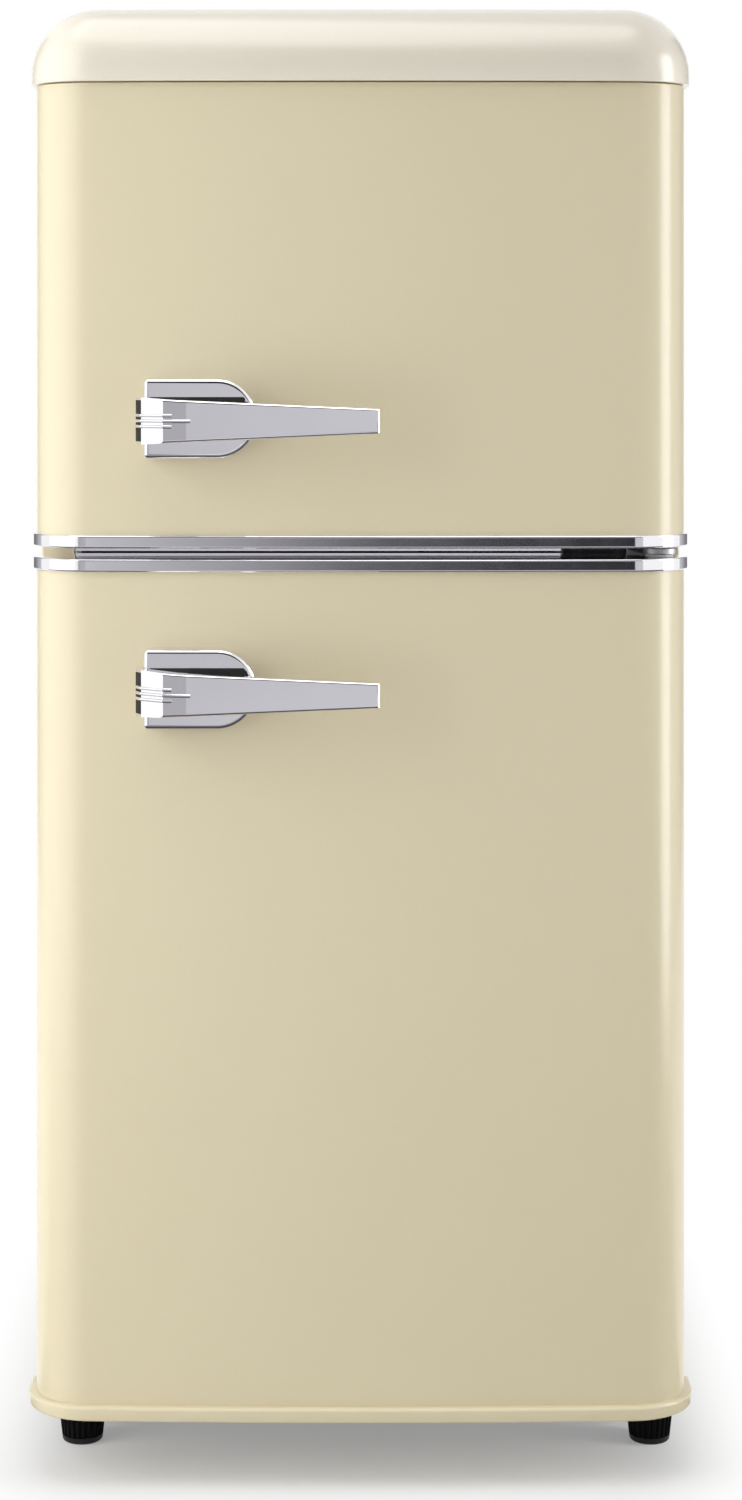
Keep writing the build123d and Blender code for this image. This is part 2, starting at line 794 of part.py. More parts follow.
# Hermetic compressor: welded can with a seam, on a mounting plate
can_low = floor_clearance + compressor_lift
can_high = can_low + compressor_height
with BuildPart() as compressor:
    with BuildSketch(Plane.XY.offset(can_low)):
        with Locations((compressor_x, bay_y)):
            RectangleRounded(compressor_length, compressor_width, compressor_corner)
    extrude(amount=compressor_height)
    fillet(compressor.faces().sort_by(Axis.Z)[-1].edges(), compressor_dome)
    fillet(compressor.faces().sort_by(Axis.Z)[0].edges(), compressor_heel)
    with BuildSketch(Plane.XY.offset((can_low + can_high) / 2)):
        with Locations((compressor_x, bay_y)):
            RectangleRounded(compressor_length + 2 * seam_proud, compressor_width + 2 * seam_proud,
                             compressor_corner + seam_proud)
    extrude(amount=seam_height)
    with BuildSketch(Plane.XY.offset(mount_z)):
        with Locations((compressor_x, bay_y)):
            RectangleRounded(mount_length, mount_width, mount_corner)
    extrude(amount=mount_sheet)
    neck_hole = grommet_neck / 2 + bush_fit
    for x, y in mount_places:
        post(x, y, mount_z - past, mount_z + mount_sheet + past, neck_hole, mode=Mode.SUBTRACT)
save(compressor, "compressor")

grommet_top = mount_z + mount_sheet + grommet_cap
with BuildPart() as compressor_grommets:
    bolt_hole = bolt_diameter / 2 + bush_fit
    for x, y in mount_places:
        post(x, y, floor_clearance, mount_z, grommet_diameter / 2)
        post(x, y, mount_z, mount_z + mount_sheet, grommet_neck / 2)
        post(x, y, mount_z + mount_sheet, grommet_top, grommet_diameter / 2 - past)
        post(x, y, floor_clearance - past, grommet_top + past, bolt_hole, mode=Mode.SUBTRACT)
save(compressor_grommets, "compressor_grommets")

# All screws of the cabinet, and the bolts through the compressor's grommets
with BuildPart() as cabinet_fasteners:
    for place, outward in hinge_screws + top_screws + left_screws + right_screws + base_screws + back_screws:
        screw(place, outward, shank, screw_length, screw_head / 2, screw_head_height)
    for x, y in mount_places:
        post(x, y, base_plate_z - past, grommet_top, bolt_diameter / 2)
        with BuildSketch(Plane.XY.offset(grommet_top)):
            with Locations((x, y)):
                RegularPolygon(bolt_head_diameter / 2, 6)
        extrude(amount=bolt_head_height)
save(cabinet_fasteners, "cabinet_fasteners")

with BuildPart() as terminal_cover:
    terminal_left = compressor_x - compressor_length / 2 - terminal_depth
    block((terminal_left, compressor_x - compressor_length / 4),
          (bay_y - terminal_width / 2, bay_y + terminal_width / 2),
          (can_low + terminal_lift, can_low + terminal_lift + terminal_height))
    fillet(terminal_cover.faces().sort_by(Axis.X)[0].edges(), terminal_round)
    add(compressor.part, mode=Mode.SUBTRACT)
save(terminal_cover, "terminal_cover")

# Tubes from the compressor and the drier up into the bay roof
can_right = compressor_x + compressor_length / 2
drier_low = bay_top - drier_drop
drier_high = drier_low + drier_length
drier_neck = capillary_diameter
discharge_z = can_low + discharge_rise
suction_z = can_low + suction_rise
suction_x = can_right + 2 * tube_bend
discharge_x = suction_x + 2 * tube_bend
capillary_x = drier_x + drier_diameter
discharge_path = [
    (can_right, bay_y, discharge_z), (discharge_x, bay_y, discharge_z), (discharge_x, bay_y, bay_top),
]
discharge = tube(discharge_path, tube_diameter / 2, tube_bend)
suction_path = [(can_right, bay_y, suction_z), (suction_x, bay_y, suction_z), (suction_x, bay_y, bay_top)]
suction = tube(suction_path, tube_diameter / 2, tube_bend)
capillary_z = drier_low - 2 * drier_diameter
capillary_path = [
    (drier_x, bay_y, drier_low - drier_diameter / 2), (drier_x, bay_y, capillary_z),
    (capillary_x, bay_y, capillary_z), (capillary_x, bay_y, bay_top),
]
capillary = tube(capillary_path, capillary_diameter / 2, coil_bend_share * drier_diameter)
with BuildPart() as refrigerant_tubes:
    add(discharge)
    add(suction)
    add(capillary)
save(refrigerant_tubes, "refrigerant_tubes")

with BuildPart() as filter_drier:
    post(drier_x, bay_y, drier_low, drier_high, drier_diameter / 2)
    with Locations((drier_x, bay_y, drier_low - drier_diameter / 4)):
        Cone(drier_neck, drier_diameter / 2, drier_diameter / 2)
    with Locations((drier_x, bay_y, drier_high + drier_diameter / 4)):
        Cone(drier_diameter / 2, drier_neck, drier_diameter / 2)
    post(drier_x, bay_y, drier_high, bay_top, drier_neck)
save(filter_drier, "filter_drier")

with BuildPart() as drain_pan:
    with BuildSketch(Plane.XY.offset(can_high)):
        with Locations((compressor_x, bay_y)):
            RectangleRounded(pan_length, pan_width, pan_corner)
    extrude(amount=pan_height)
    offset(amount=-pan_wall, openings=drain_pan.faces().sort_by(Axis.Z)[-1])
save(drain_pan, "drain_pan")

with BuildPart() as drain_tube:
    post(compressor_x + drain_offset, bay_y, can_high + pan_height / 2, bay_top, drain_diameter / 2)
    post(compressor_x + drain_offset, bay_y, can_high, bay_top + past, drain_bore / 2, mode=Mode.SUBTRACT)
save(drain_tube, "drain_tube")

# Condenser coil on the back panel, evaporator plates behind the liners
coil_y = panel_y - condenser_diameter / 2
points, bend = serpentine(half_width - condenser_margin, bay_top + condenser_margin,
                          cabinet_top - condenser_margin, condenser_runs, coil_y)
coil = tube(points, condenser_diameter / 2, bend)
with BuildPart() as condenser_tube:
    add(coil)
save(condenser_tube, "condenser_tube")

plate_y = cavity_back + liner_wall
plate_half = cavity_half - evaporator_margin
channel_inset = 2 * evaporator_channel
evaporator_spans = [
    (freezer_floor + evaporator_margin, freezer_roof - evaporator_margin),
    (hump_z + evaporator_margin, fridge_roof - evaporator_margin),
]
channels = []
for low, high in evaporator_spans:
    points, bend = serpentine(plate_half - channel_inset, low + channel_inset, high - channel_inset,
                              evaporator_runs, plate_y + evaporator_sheet)
    channels.append(tube(points, evaporator_channel / 2, bend))
with BuildPart() as evaporator:
    for channel in channels:
        add(channel)
    block((-plate_half, plate_half), (plate_y - evaporator_channel, plate_y), (hump_z, freezer_roof),
          mode=Mode.SUBTRACT)
    for low, high in evaporator_spans:
        block((-plate_half, plate_half), (plate_y, plate_y + evaporator_sheet), (low, high))
save(evaporator, "evaporator")

# Thermostat housing with its dial on the right wall
thermostat_face = cavity_half - thermostat_depth
with BuildPart() as thermostat_housing:
    with BuildSketch(Plane.YZ.offset(cavity_half)):
        with Locations((thermostat_y, thermostat_z)):
            RectangleRounded(thermostat_length, thermostat_height, thermostat_round)
    extrude(amount=-thermostat_depth)
    fillet(thermostat_housing.faces().sort_by(Axis.X)[0].edges(), thermostat_round / 2)
    offset(amount=-thermostat_wall, openings=thermostat_housing.faces().sort_by(Axis.X)[-1])
    shaft_hole = shaft_diameter / 2 + pin_clearance
    drill((thermostat_face, thermostat_y, thermostat_z), (-1, 0, 0), shaft_hole, 2 * thermostat_wall)
save(thermostat_housing, "thermostat_housing")

knob_back = thermostat_face - knob_gap
with BuildPart() as thermostat_knob:
    with BuildSketch(Plane.YZ.offset(knob_back)):
        with Locations((thermostat_y, thermostat_z)):
            Circle(knob_diameter / 2)
    extrude(amount=-knob_depth / 2)
    fillet(thermostat_knob.faces().sort_by(Axis.X)[0].edges(), knob_round)
    with BuildSketch(Plane.YZ.offset(knob_back - knob_depth / 2)):
        with Locations((thermostat_y, thermostat_z)):
            SlotOverall(knob_diameter - 2 * knob_grip_inset, knob_grip, rotation=90)
    extrude(amount=-knob_depth / 2)
    with BuildSketch(Plane.YZ.offset(knob_back)):
        with Locations((thermostat_y, thermostat_z)):
            Circle(shaft_diameter / 2)
    extrude(amount=knob_gap + thermostat_depth / 2)
save(thermostat_knob, "thermostat_knob")

# Freezer wire shelf: round cross bars under a row of wires
with BuildPart() as freezer_shelf:
    bar_z = freezer_shelf_z + frame_wire / 2
    wire_z = freezer_shelf_z + frame_wire + wire / 2 - wire / 4
    bar_length = 2 * (cavity_half - shelf_fit)
    bar_front = shelf_y + frame_wire
    bar_back = shelf_back - trim_depth - frame_wire
    for y in (bar_front, (bar_front + bar_back) / 2, bar_back):
        with Locations(Location((0, y, bar_z), (0, 90, 0))):
            Cylinder(frame_wire / 2, bar_length)
    wire_pitch = (bar_length - 4 * ledge_width) / (wire_count - 1)
    wire_length = bar_back - bar_front + 2 * frame_wire
    for place in range(wire_count):
        x = (place - (wire_count - 1) / 2) * wire_pitch
        with Locations(Location((x, (bar_front + bar_back) / 2, wire_z), (90, 0, 0))):
            Cylinder(wire / 2, wire_length)
save(freezer_shelf, "freezer_shelf")


def make_glass(name, z):
    """A glass pane that rests on a pair of ledges."""
    inside = cavity_half - shelf_fit
    with BuildPart() as pane:
        block((-inside, inside), (shelf_y, shelf_back), (z, z + glass))
    save(pane, name)


def shelf_trim(y0, y1, low, high, z):
    """A plastic edge that grips the pane between y0 and y1."""
    inside = cavity_half - shelf_fit
    with BuildPart() as edge:
        block((-inside, inside), (y0, y1), (low, high))
        fillet(edge.edges().filter_by(Axis.X), trim_wall / 2)
        block((-inside - past, inside + past), (shelf_y, shelf_back), (z, z + glass), mode=Mode.SUBTRACT)
    return edge.part


make_glass("upper_shelf", upper_shelf_z)
make_glass("lower_shelf", lower_shelf_z)
make_glass("crisper_cover", cover_z)
edges = []
for z in (upper_shelf_z, lower_shelf_z):
    low = z - trim_wall
    edges.append(shelf_trim(shelf_y - trim_wall, shelf_y + trim_depth, low, low + trim_height, z))
    edges.append(shelf_trim(shelf_back - trim_depth / 2, shelf_back + trim_wall, low, z + 2 * trim_height, z))
with BuildPart() as shelf_trims:
    for edge in edges:
        add(edge)
save(shelf_trims, "shelf_trims")

# Crisper drawer: a drafted tub with a grip along its front edge
with BuildPart() as crisper_drawer:
    drawer_low = fridge_floor + drawer_floor_gap
    drawer_high = cover_z - drawer_gap
    inside = cavity_half - drawer_side_gap
    drawer_back = hump_y - drawer_side_gap
    with BuildSketch(Plane.XY.offset(drawer_low)):
        with Locations((0, (shelf_y + drawer_back) / 2)):
            RectangleRounded(2 * inside, drawer_back - shelf_y, drawer_corner)
    extrude(amount=drawer_high - drawer_low)
    fillet(crisper_drawer.faces().sort_by(Axis.Z)[0].edges(), drawer_corner / 2)
    offset(amount=-drawer_wall, openings=crisper_drawer.faces().sort_by(Axis.Z)[-1])
    grip = drawer_grip_width / 2
    grip_front = shelf_y - drawer_grip_depth
    block((-grip, grip), (grip_front, shelf_y + drawer_wall / 2), (drawer_high - drawer_wall, drawer_high))
    block((-grip, grip), (grip_front, grip_front + drawer_wall),
          (drawer_high - drawer_grip_height, drawer_high))
save(crisper_drawer, "crisper_drawer")


def make_end_cap(name, low, height, proud, into, low_round, high_round):
    """A door's end moulding, with a skirt inside the skin and a hole for the hinge bush."""
    high = low + height
    skirt_low = high if into > 0 else low - skirt_height
    fit = sheet + skirt_fit
    with BuildPart() as moulding:
        extrude(door_plan(low, proud, door_back, door_corner + proud), amount=height)
        if low_round > 0:
            fillet(moulding.faces().sort_by(Axis.Z)[0].edges().sort_by(Axis.Y)[:-1], low_round)
        if high_round > 0:
            fillet(moulding.faces().sort_by(Axis.Z)[-1].edges().sort_by(Axis.Y)[:-1], high_round)
        extrude(door_plan(skirt_low, -fit, door_back - fit, door_corner - fit), amount=skirt_height)
        hollow = fit + skirt_wall
        extrude(door_plan(skirt_low, -hollow, door_back - hollow, door_corner - hollow), amount=skirt_height,
                mode=Mode.SUBTRACT)
        post(hinge_x, hinge_y, low - past, high + past, bush_diameter / 2 + bush_fit, mode=Mode.SUBTRACT)
    save(moulding, name)


def make_bushes(name, seats):
    """Flanged hinge bushes: each seat is the outer face, the way into the door and the flange."""
    with BuildPart() as bushes:
        for face, into, lip in seats:
            sleeve = sorted((face, face + into * bush_length))
            collar = sorted((face, face - into * lip))
            post(hinge_x, hinge_y, *sleeve, bush_diameter / 2)
            post(hinge_x, hinge_y, *collar, bush_flange_diameter / 2)
            post(hinge_x, hinge_y, sleeve[0] - 2 * lip, sleeve[1] + 2 * lip, bush_bore, mode=Mode.SUBTRACT)
    save(bushes, name)


def handle_screw_places(z):
    """Heads of the two screws of a handle, on the bottom of their counterbores in its base."""
    y = door_front - handle_base_depth + handle_screw_head_height
    half = handle_screw_spread / 2
    return [(handle_screw_x, y, z - half), (handle_screw_x, y, z + half)]


def make_door(door, low, high, low_cap, high_cap, dike_low, dike_high, rack_heights, handle_z):
    """Skin, foam, inner liner and gasket of one door between the heights low and high."""
    skin_low = low + low_cap
    skin_high = high - high_cap
    tall = skin_high - skin_low
    with BuildPart() as skin:
        extrude(door_plan(skin_low, 0, door_back, door_corner), amount=tall)
        extrude(door_plan(skin_low, -sheet, door_back - sheet, door_corner - sheet), amount=tall,
                mode=Mode.SUBTRACT)
        inside = half_width - skin_return
        block((-inside, inside), (door_back - 2 * sheet, door_back + past),
              (skin_low - past, skin_high + past), mode=Mode.SUBTRACT)
        for place in handle_screw_places(handle_z):
            drill(place, (0, -1, 0), handle_screw_hole, handle_base_depth + door_bow)
    save(skin, f"{door}_skin")

    channel_back = cabinet_front + dike_reach - liner_wall
    channel = ring_face(channel_back, dike_half - liner_wall, dike_low + liner_wall, dike_high - liner_wall,
                        dike_width - 2 * liner_wall, dike_corner)
    core = sheet + skirt_fit + skirt_wall
    with BuildPart() as insulation:
        extrude(door_plan(skin_low, -core, door_back - core, door_corner - core), amount=tall)
        extrude(door_plan(skin_low + skirt_height, -sheet, door_back - sheet, door_corner - sheet),
                amount=tall - 2 * skirt_height)
        inside = half_width - skin_return
        block((-inside, inside), (door_back - 2 * sheet, door_back),
              (skin_low + skirt_height, skin_high - skirt_height))
        extrude(channel, amount=channel_back - door_back)
        for face, into in ((low, 1), (high, -1)):
            well = sorted((face, face + into * (bush_length + past)))
            post(hinge_x, hinge_y, *well, bush_diameter / 2 + bush_fit, mode=Mode.SUBTRACT)
        for place in handle_screw_places(handle_z):
            drill(place, (0, -1, 0), handle_screw_hole, handle_screw_length + past)
    save(insulation, f"{door}_insulation")

    with BuildPart() as liner:
        sheet_face = upright_face(door_back + liner_wall, half_width - door_liner_margin,
                                  low + door_liner_margin, high - door_liner_margin, dike_corner)
        extrude(sheet_face, amount=liner_wall)
        dike_back = cabinet_front + dike_reach
        dike = ring_face(dike_back, dike_half, dike_low, dike_high, dike_width, dike_corner)
        extrude(dike, amount=dike_back - door_back)
        extrude(channel, amount=channel_back - door_back, mode=Mode.SUBTRACT)
        for rack_z in rack_heights:
            for side in (-1, 1):
                lug_root = rack_half + rack_fit + liner_wall / 2
                edges = sorted((side * (rack_half - rack_lug), side * lug_root))
                lug_front = rack_front + rack_lug
                block(edges, (lug_front, lug_front + rack_lug_length), (rack_z - rack_lug, rack_z))
    save(liner, f"{door}_liner")

    with BuildPart() as gasket:
        base_back = door_back + liner_wall + gasket_base
        inset = (gasket_width - gasket_lip) / 2
        seal_low = low + gasket_margin
        seal_high = high - gasket_margin
        foot = ring_face(base_back, gasket_half, seal_low, seal_high, gasket_width, gasket_corner)
        extrude(foot, amount=gasket_base)
        extrude(ring_face(gasket_back, gasket_half - inset, seal_low + inset, seal_high - inset, gasket_lip,
                          gasket_corner - inset), amount=gasket_back - base_back)
    save(gasket, f"{door}_gasket")


def make_rack(name, z, height):
    """A moulded door rack: a rounded tub that stands on the liner's lugs."""
    with BuildPart() as rack:
        back = cabinet_front + rack_reach
        front = rack_front + rack_fit
        with BuildSketch(Plane.XY.offset(z)) as plan:
            with Locations((0, (front + back) / 2)):
                Rectangle(2 * rack_half, back - front)
            fillet(plan.vertices().group_by(Axis.Y)[-1], rack_corner)
        extrude(amount=height)
        fillet(rack.faces().sort_by(Axis.Z)[0].edges(), rack_foot_round)
        offset(amount=-rack_wall, openings=rack.faces().sort_by(Axis.Z)[-1])
    save(rack, name)


def lever_nose(grow):
    """Corners of the lever's faceted end in plan, moved out by grow, from its side to its face."""
    depth = sum(inward for across, inward in lever_facets)
    corners = [Vector(lever_left, handle_front + ridge_proud + depth)]
    for across, inward in lever_facets:
        corners.append(corners[-1] + Vector(across, -inward))
    runs = [(after - before).normalized() for before, after in zip(corners, corners[1:])]
    walls = [Vector(0, -1)] + runs + [Vector(1, 0)]
    outward = [wall.rotate(Axis.Z, -90) for wall in walls]
    return [
        corner + (before + after) * (grow / (1 + before.dot(after)))
        for corner, before, after in zip(corners, outward, outward[1:])
    ]


def make_handle(door, z):
    """A fixed pull: rounded base plate, one-sided lever with three ridges, and two screws."""
    half = handle_base_height / 2
    middle = handle_left + handle_base_length - half
    base_face = door_front - handle_base_depth
    with BuildPart() as base:
        with BuildSketch(front_plane(door_front + door_bow)) as outline:
            with BuildLine():
                Polyline((middle, z + half), (handle_left, z + half), (handle_left, z - half),
                         (middle, z - half))
                ThreePointArc((middle, z - half), (middle + half, z), (middle, z + half))
            make_face()
            fillet(outline.vertices().group_by(Axis.X)[0], handle_base_round)
        extrude(amount=handle_base_depth + door_bow)
        fillet(base.faces().sort_by(Axis.Y)[0].edges(), handle_base_round)
        extrude(door_plan(z - half - past, 0, door_back, door_corner), amount=2 * (half + past),
                mode=Mode.SUBTRACT)
        for place in handle_screw_places(z):
            drill(place, (0, -1, 0), handle_screw_hole, handle_base_depth + door_bow)
            with Locations(Plane(origin=place, z_dir=(0, -1, 0))):
                Cylinder(handle_screw_head / 2 + screw_clearance, handle_base_depth,
                         align=(Align.CENTER, Align.CENTER, Align.MIN), mode=Mode.SUBTRACT)
    save(base, f"{door}_handle_base")

    with BuildPart() as screws:
        for place in handle_screw_places(z):
            screw(place, (0, -1, 0), handle_screw_diameter / 2, handle_screw_length, handle_screw_head / 2,
                  handle_screw_head_height - screw_clearance)
    save(screws, f"{door}_handle_screws")

    lever_z = z - lever_below
    wrap_x = handle_left - lever_fit
    wrap_y = base_face + lever_wrap
    face_y = handle_front + ridge_proud
    arm_back = face_y + lever_thickness
    with BuildPart() as lever:
        with BuildSketch(Plane.XY.offset(lever_z - lever_end_half)) as plan:
            with BuildLine():
                Polyline((lever_left, wrap_y), *lever_nose(0), (lever_right, face_y), (lever_right, arm_back),
                         (lever_hub_end, arm_back), (lever_hub_end, base_face), (wrap_x, base_face),
                         (wrap_x, wrap_y), close=True)
            make_face()
            fillet(plan.vertices().sort_by_distance((lever_hub_end, arm_back))[0], lever_hub_fillet)
        extrude(amount=2 * lever_end_half)
        with BuildSketch(front_plane(wrap_y)):
            with BuildLine():
                Polyline((lever_left, lever_z + lever_end_half),
                         (lever_shoulder_x, lever_z + lever_shoulder_half),
                         (lever_right, lever_z + lever_tip_half), (lever_right, lever_z - lever_tip_half),
                         (lever_shoulder_x, lever_z - lever_shoulder_half),
                         (lever_left, lever_z - lever_end_half), close=True)
            make_face()
        extrude(amount=wrap_y - handle_front + past, mode=Mode.INTERSECT)
        rims = lever.edges().filter_by(
            lambda e: abs(e.center().Z - lever_z) > lever_tip_half - past
            and e.bounding_box().max.Y < face_y + past and e.bounding_box().size.X > lever_round
        )
        tip = lever.edges().filter_by(Axis.Z).sort_by_distance((lever_right, face_y, lever_z))[0]
        fillet(rims + [tip], lever_round)
        for place in (-1, 0, 1):
            end = handle_left + (ridge_reach if place else ridge_middle_reach)
            with BuildSketch(Plane.XY.offset(lever_z + place * ridge_pitch - ridge_height / 2)):
                with BuildLine():
                    inner = lever_nose(-past)[::-1]
                    Polyline((lever_left - ridge_proud, wrap_y - past), *lever_nose(ridge_proud),
                             (lever_right, handle_front), (lever_right, face_y + past), *inner,
                             (lever_left + past, wrap_y - past), close=True)
                make_face()
                with Locations((end, handle_front - past)):
                    Rectangle(lever_length, handle_reach, align=(Align.MIN, Align.MIN), mode=Mode.SUBTRACT)
            extrude(amount=ridge_height)
    save(lever, f"{door}_handle_lever")


make_door("freezer_door", freezer_bottom, freezer_top, chrome_height, top_end_height,
          freezer_floor + dike_end_gap, freezer_roof - dike_end_gap, [freezer_rack_z], freezer_handle_z)
make_end_cap("freezer_door_trim", freezer_bottom, chrome_height, chrome_proud, 1, trim_round, trim_round)
make_end_cap("freezer_door_top", freezer_top - top_end_height, top_end_height, 0, -1, 0, top_end_round)
carried_lip = freezer_bottom - (middle_plate_z + hinge_plate) - running_gap
make_bushes("freezer_door_bushes", [(freezer_bottom, 1, carried_lip), (freezer_top, -1, bush_flange)])
make_rack("freezer_door_rack", freezer_rack_z, freezer_rack_height)
make_handle("freezer_door", freezer_handle_z)

make_door("fridge_door", fridge_bottom, fridge_top, base_trim_height, chrome_height,
          fridge_floor + dike_end_gap, fridge_roof - dike_end_gap, [bottle_rack_z, upper_rack_z],
          fridge_handle_z)
make_end_cap("fridge_door_trim", fridge_top - chrome_height, chrome_height, chrome_proud, -1, trim_round,
             trim_round)
make_end_cap("fridge_door_base_trim", fridge_bottom, base_trim_height, base_trim_proud, 1, base_trim_round,
             base_trim_round)
carried_lip = fridge_bottom - floor_clearance - running_gap
make_bushes("fridge_door_bushes", [(fridge_bottom, 1, carried_lip), (fridge_top, -1, bush_flange)])
make_rack("bottle_rack", bottle_rack_z, bottle_rack_height)
make_rack("upper_door_rack", upper_rack_z, upper_rack_height)
make_handle("fridge_door", fridge_handle_z)
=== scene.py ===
import bpy
import bmesh
import json
from math import asin, cos, pi, radians, sin, sqrt
from mathutils import Matrix, Vector


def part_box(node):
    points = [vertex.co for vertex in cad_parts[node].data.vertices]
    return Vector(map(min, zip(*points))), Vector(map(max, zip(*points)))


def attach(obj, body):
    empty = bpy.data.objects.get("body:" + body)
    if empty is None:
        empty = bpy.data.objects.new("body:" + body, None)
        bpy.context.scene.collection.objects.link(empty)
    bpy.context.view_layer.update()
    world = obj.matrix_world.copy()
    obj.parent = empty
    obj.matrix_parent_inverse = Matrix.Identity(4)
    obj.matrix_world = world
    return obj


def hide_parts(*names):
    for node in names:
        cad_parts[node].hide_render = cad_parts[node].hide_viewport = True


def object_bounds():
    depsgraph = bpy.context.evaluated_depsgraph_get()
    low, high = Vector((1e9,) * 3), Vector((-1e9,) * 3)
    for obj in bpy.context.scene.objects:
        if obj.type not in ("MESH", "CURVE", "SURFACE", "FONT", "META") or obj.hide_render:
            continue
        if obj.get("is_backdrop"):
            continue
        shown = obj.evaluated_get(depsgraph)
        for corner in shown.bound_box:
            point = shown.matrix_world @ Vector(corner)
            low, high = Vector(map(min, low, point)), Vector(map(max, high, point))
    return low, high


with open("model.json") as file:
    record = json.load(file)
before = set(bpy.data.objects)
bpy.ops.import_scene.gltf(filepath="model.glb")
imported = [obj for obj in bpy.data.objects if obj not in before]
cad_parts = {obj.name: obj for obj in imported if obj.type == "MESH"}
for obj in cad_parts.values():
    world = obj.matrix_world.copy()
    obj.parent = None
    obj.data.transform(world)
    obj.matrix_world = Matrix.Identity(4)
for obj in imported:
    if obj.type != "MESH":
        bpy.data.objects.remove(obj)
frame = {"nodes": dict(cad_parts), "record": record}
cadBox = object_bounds()
bodyOf = {node: body for body, nodes in frame["record"]["behaviour"]["bodies"].items() for node in nodes}
slotOf = {row["node"]: row["material_slot"] for row in frame["record"]["subparts"]}
doors = ("freezer_door", "fridge_door")
print("frame loaded:", len(bodyOf), "nodes")


def tint(red, green, blue):  # a screen colour, 0 to 255, as the shader wants it
    return [((c / 255 + 0.055) / 1.055) ** 2.4 for c in (red, green, blue)] + [1]


# Finishes: each drifts between two close tones, with uneven gloss and a fine grain
noiseDetail = {"drift": 4, "rough": 2, "grain": 2}


def newMaterial(name):
    material = bpy.data.materials.new(name)
    material.use_nodes = True
    return material, material.node_tree


def cloud(tree, scale, detail, stretch):
    place = tree.nodes.new("ShaderNodeTexCoord")
    mapping = tree.nodes.new("ShaderNodeMapping")
    mapping.inputs["Scale"].default_value = stretch
    noise = tree.nodes.new("ShaderNodeTexNoise")
    noise.inputs["Scale"].default_value = scale
    noise.inputs["Detail"].default_value = detail
    tree.links.new(place.outputs["Object"], mapping.inputs["Vector"])
    tree.links.new(mapping.outputs["Vector"], noise.inputs["Vector"])
    return noise.outputs["Fac"]


def makeFinish(name, look):
    material, tree = newMaterial(name)
    shader = tree.nodes["Principled BSDF"]
    stretch = look.get("stretch", (1, 1, 1))
    tone = tree.nodes.new("ShaderNodeValToRGB")
    tone.color_ramp.elements[0].color = tint(*look["dark"])
    tone.color_ramp.elements[1].color = tint(*look["light"])
    tree.links.new(cloud(tree, look["driftScale"], noiseDetail["drift"], stretch), tone.inputs["Fac"])
    tree.links.new(tone.outputs["Color"], shader.inputs["Base Color"])
    rough = tree.nodes.new("ShaderNodeMapRange")
    rough.inputs["To Min"].default_value = look["rough"][0]
    rough.inputs["To Max"].default_value = look["rough"][1]
    tree.links.new(cloud(tree, look["roughScale"], noiseDetail["rough"], stretch), rough.inputs["Value"])
    tree.links.new(rough.outputs["Result"], shader.inputs["Roughness"])
    bump = tree.nodes.new("ShaderNodeBump")
    bump.inputs["Strength"].default_value = look["bump"]
    bump.inputs["Distance"].default_value = look["bumpDepth"]
    tree.links.new(cloud(tree, look["grainScale"], noiseDetail["grain"], stretch), bump.inputs["Height"])
    tree.links.new(bump.outputs["Normal"], shader.inputs["Normal"])
    for socket, value in look.get("sockets", {}).items():
        shader.inputs[socket].default_value = value
    return material


creamEnamel = {
    "dark": (223, 212, 180), "light": (225, 214, 183), "driftScale": 520.0,
    "rough": (0.27, 0.29), "roughScale": 520.0,
    "bump": 0.012, "bumpDepth": 0.0002, "grainScale": 620.0,
    "sockets": {"Coat Weight": 0.35, "Coat Roughness": 0.18},
}
creamMoulding = {
    "dark": (231, 224, 207), "light": (234, 228, 212), "driftScale": 520.0,
    "rough": (0.24, 0.27), "roughScale": 520.0,
    "bump": 0.02, "bumpDepth": 0.0002, "grainScale": 900.0,
    "sockets": {"Coat Weight": 0.8, "Coat Roughness": 0.22},
}
brightChrome = {
    "dark": (240, 239, 243), "light": (248, 247, 250), "driftScale": 20.0,
    "rough": (0.05, 0.09), "roughScale": 60.0,
    "bump": 0.02, "bumpDepth": 0.0002, "grainScale": 300.0,
    "sockets": {"Metallic": 1.0},
}
linerWhite = {
    "dark": (232, 234, 234), "light": (240, 241, 240), "driftScale": 5.0,
    "rough": (0.28, 0.38), "roughScale": 20.0,
    "bump": 0.04, "bumpDepth": 0.0004, "grainScale": 260.0,
}
tubPlastic = {
    "dark": (222, 233, 237), "light": (232, 240, 243), "driftScale": 8.0,
    "rough": (0.12, 0.20), "roughScale": 30.0,
    "bump": 0.03, "bumpDepth": 0.0003, "grainScale": 200.0,
    "sockets": {"Alpha": 0.42, "IOR": 1.49},
}
shelfGlass = {
    "dark": (196, 222, 212), "light": (206, 230, 220), "driftScale": 6.0,
    "rough": (0.02, 0.05), "roughScale": 25.0,
    "bump": 0.01, "bumpDepth": 0.0002, "grainScale": 60.0,
    "sockets": {"Alpha": 0.3, "IOR": 1.5},
}
paleFoam = {
    "dark": (212, 190, 132), "light": (232, 214, 160), "driftScale": 40.0,
    "rough": (0.85, 0.95), "roughScale": 60.0,
    "bump": 0.5, "bumpDepth": 0.001, "grainScale": 700.0,
}
sealGrey = {
    "dark": (196, 194, 188), "light": (210, 208, 202), "driftScale": 30.0,
    "rough": (0.50, 0.62), "roughScale": 80.0,
    "bump": 0.08, "bumpDepth": 0.0003, "grainScale": 500.0,
}
zincSheet = {
    "dark": (150, 152, 155), "light": (186, 188, 190), "driftScale": 70.0,
    "rough": (0.30, 0.48), "roughScale": 90.0,
    "bump": 0.05, "bumpDepth": 0.0003, "grainScale": 300.0,
    "sockets": {"Metallic": 1.0},
}
slatePaint = {
    "dark": (112, 109, 115), "light": (120, 117, 123), "driftScale": 6.0,
    "rough": (0.38, 0.48), "roughScale": 30.0,
    "bump": 0.08, "bumpDepth": 0.0004, "grainScale": 500.0,
}
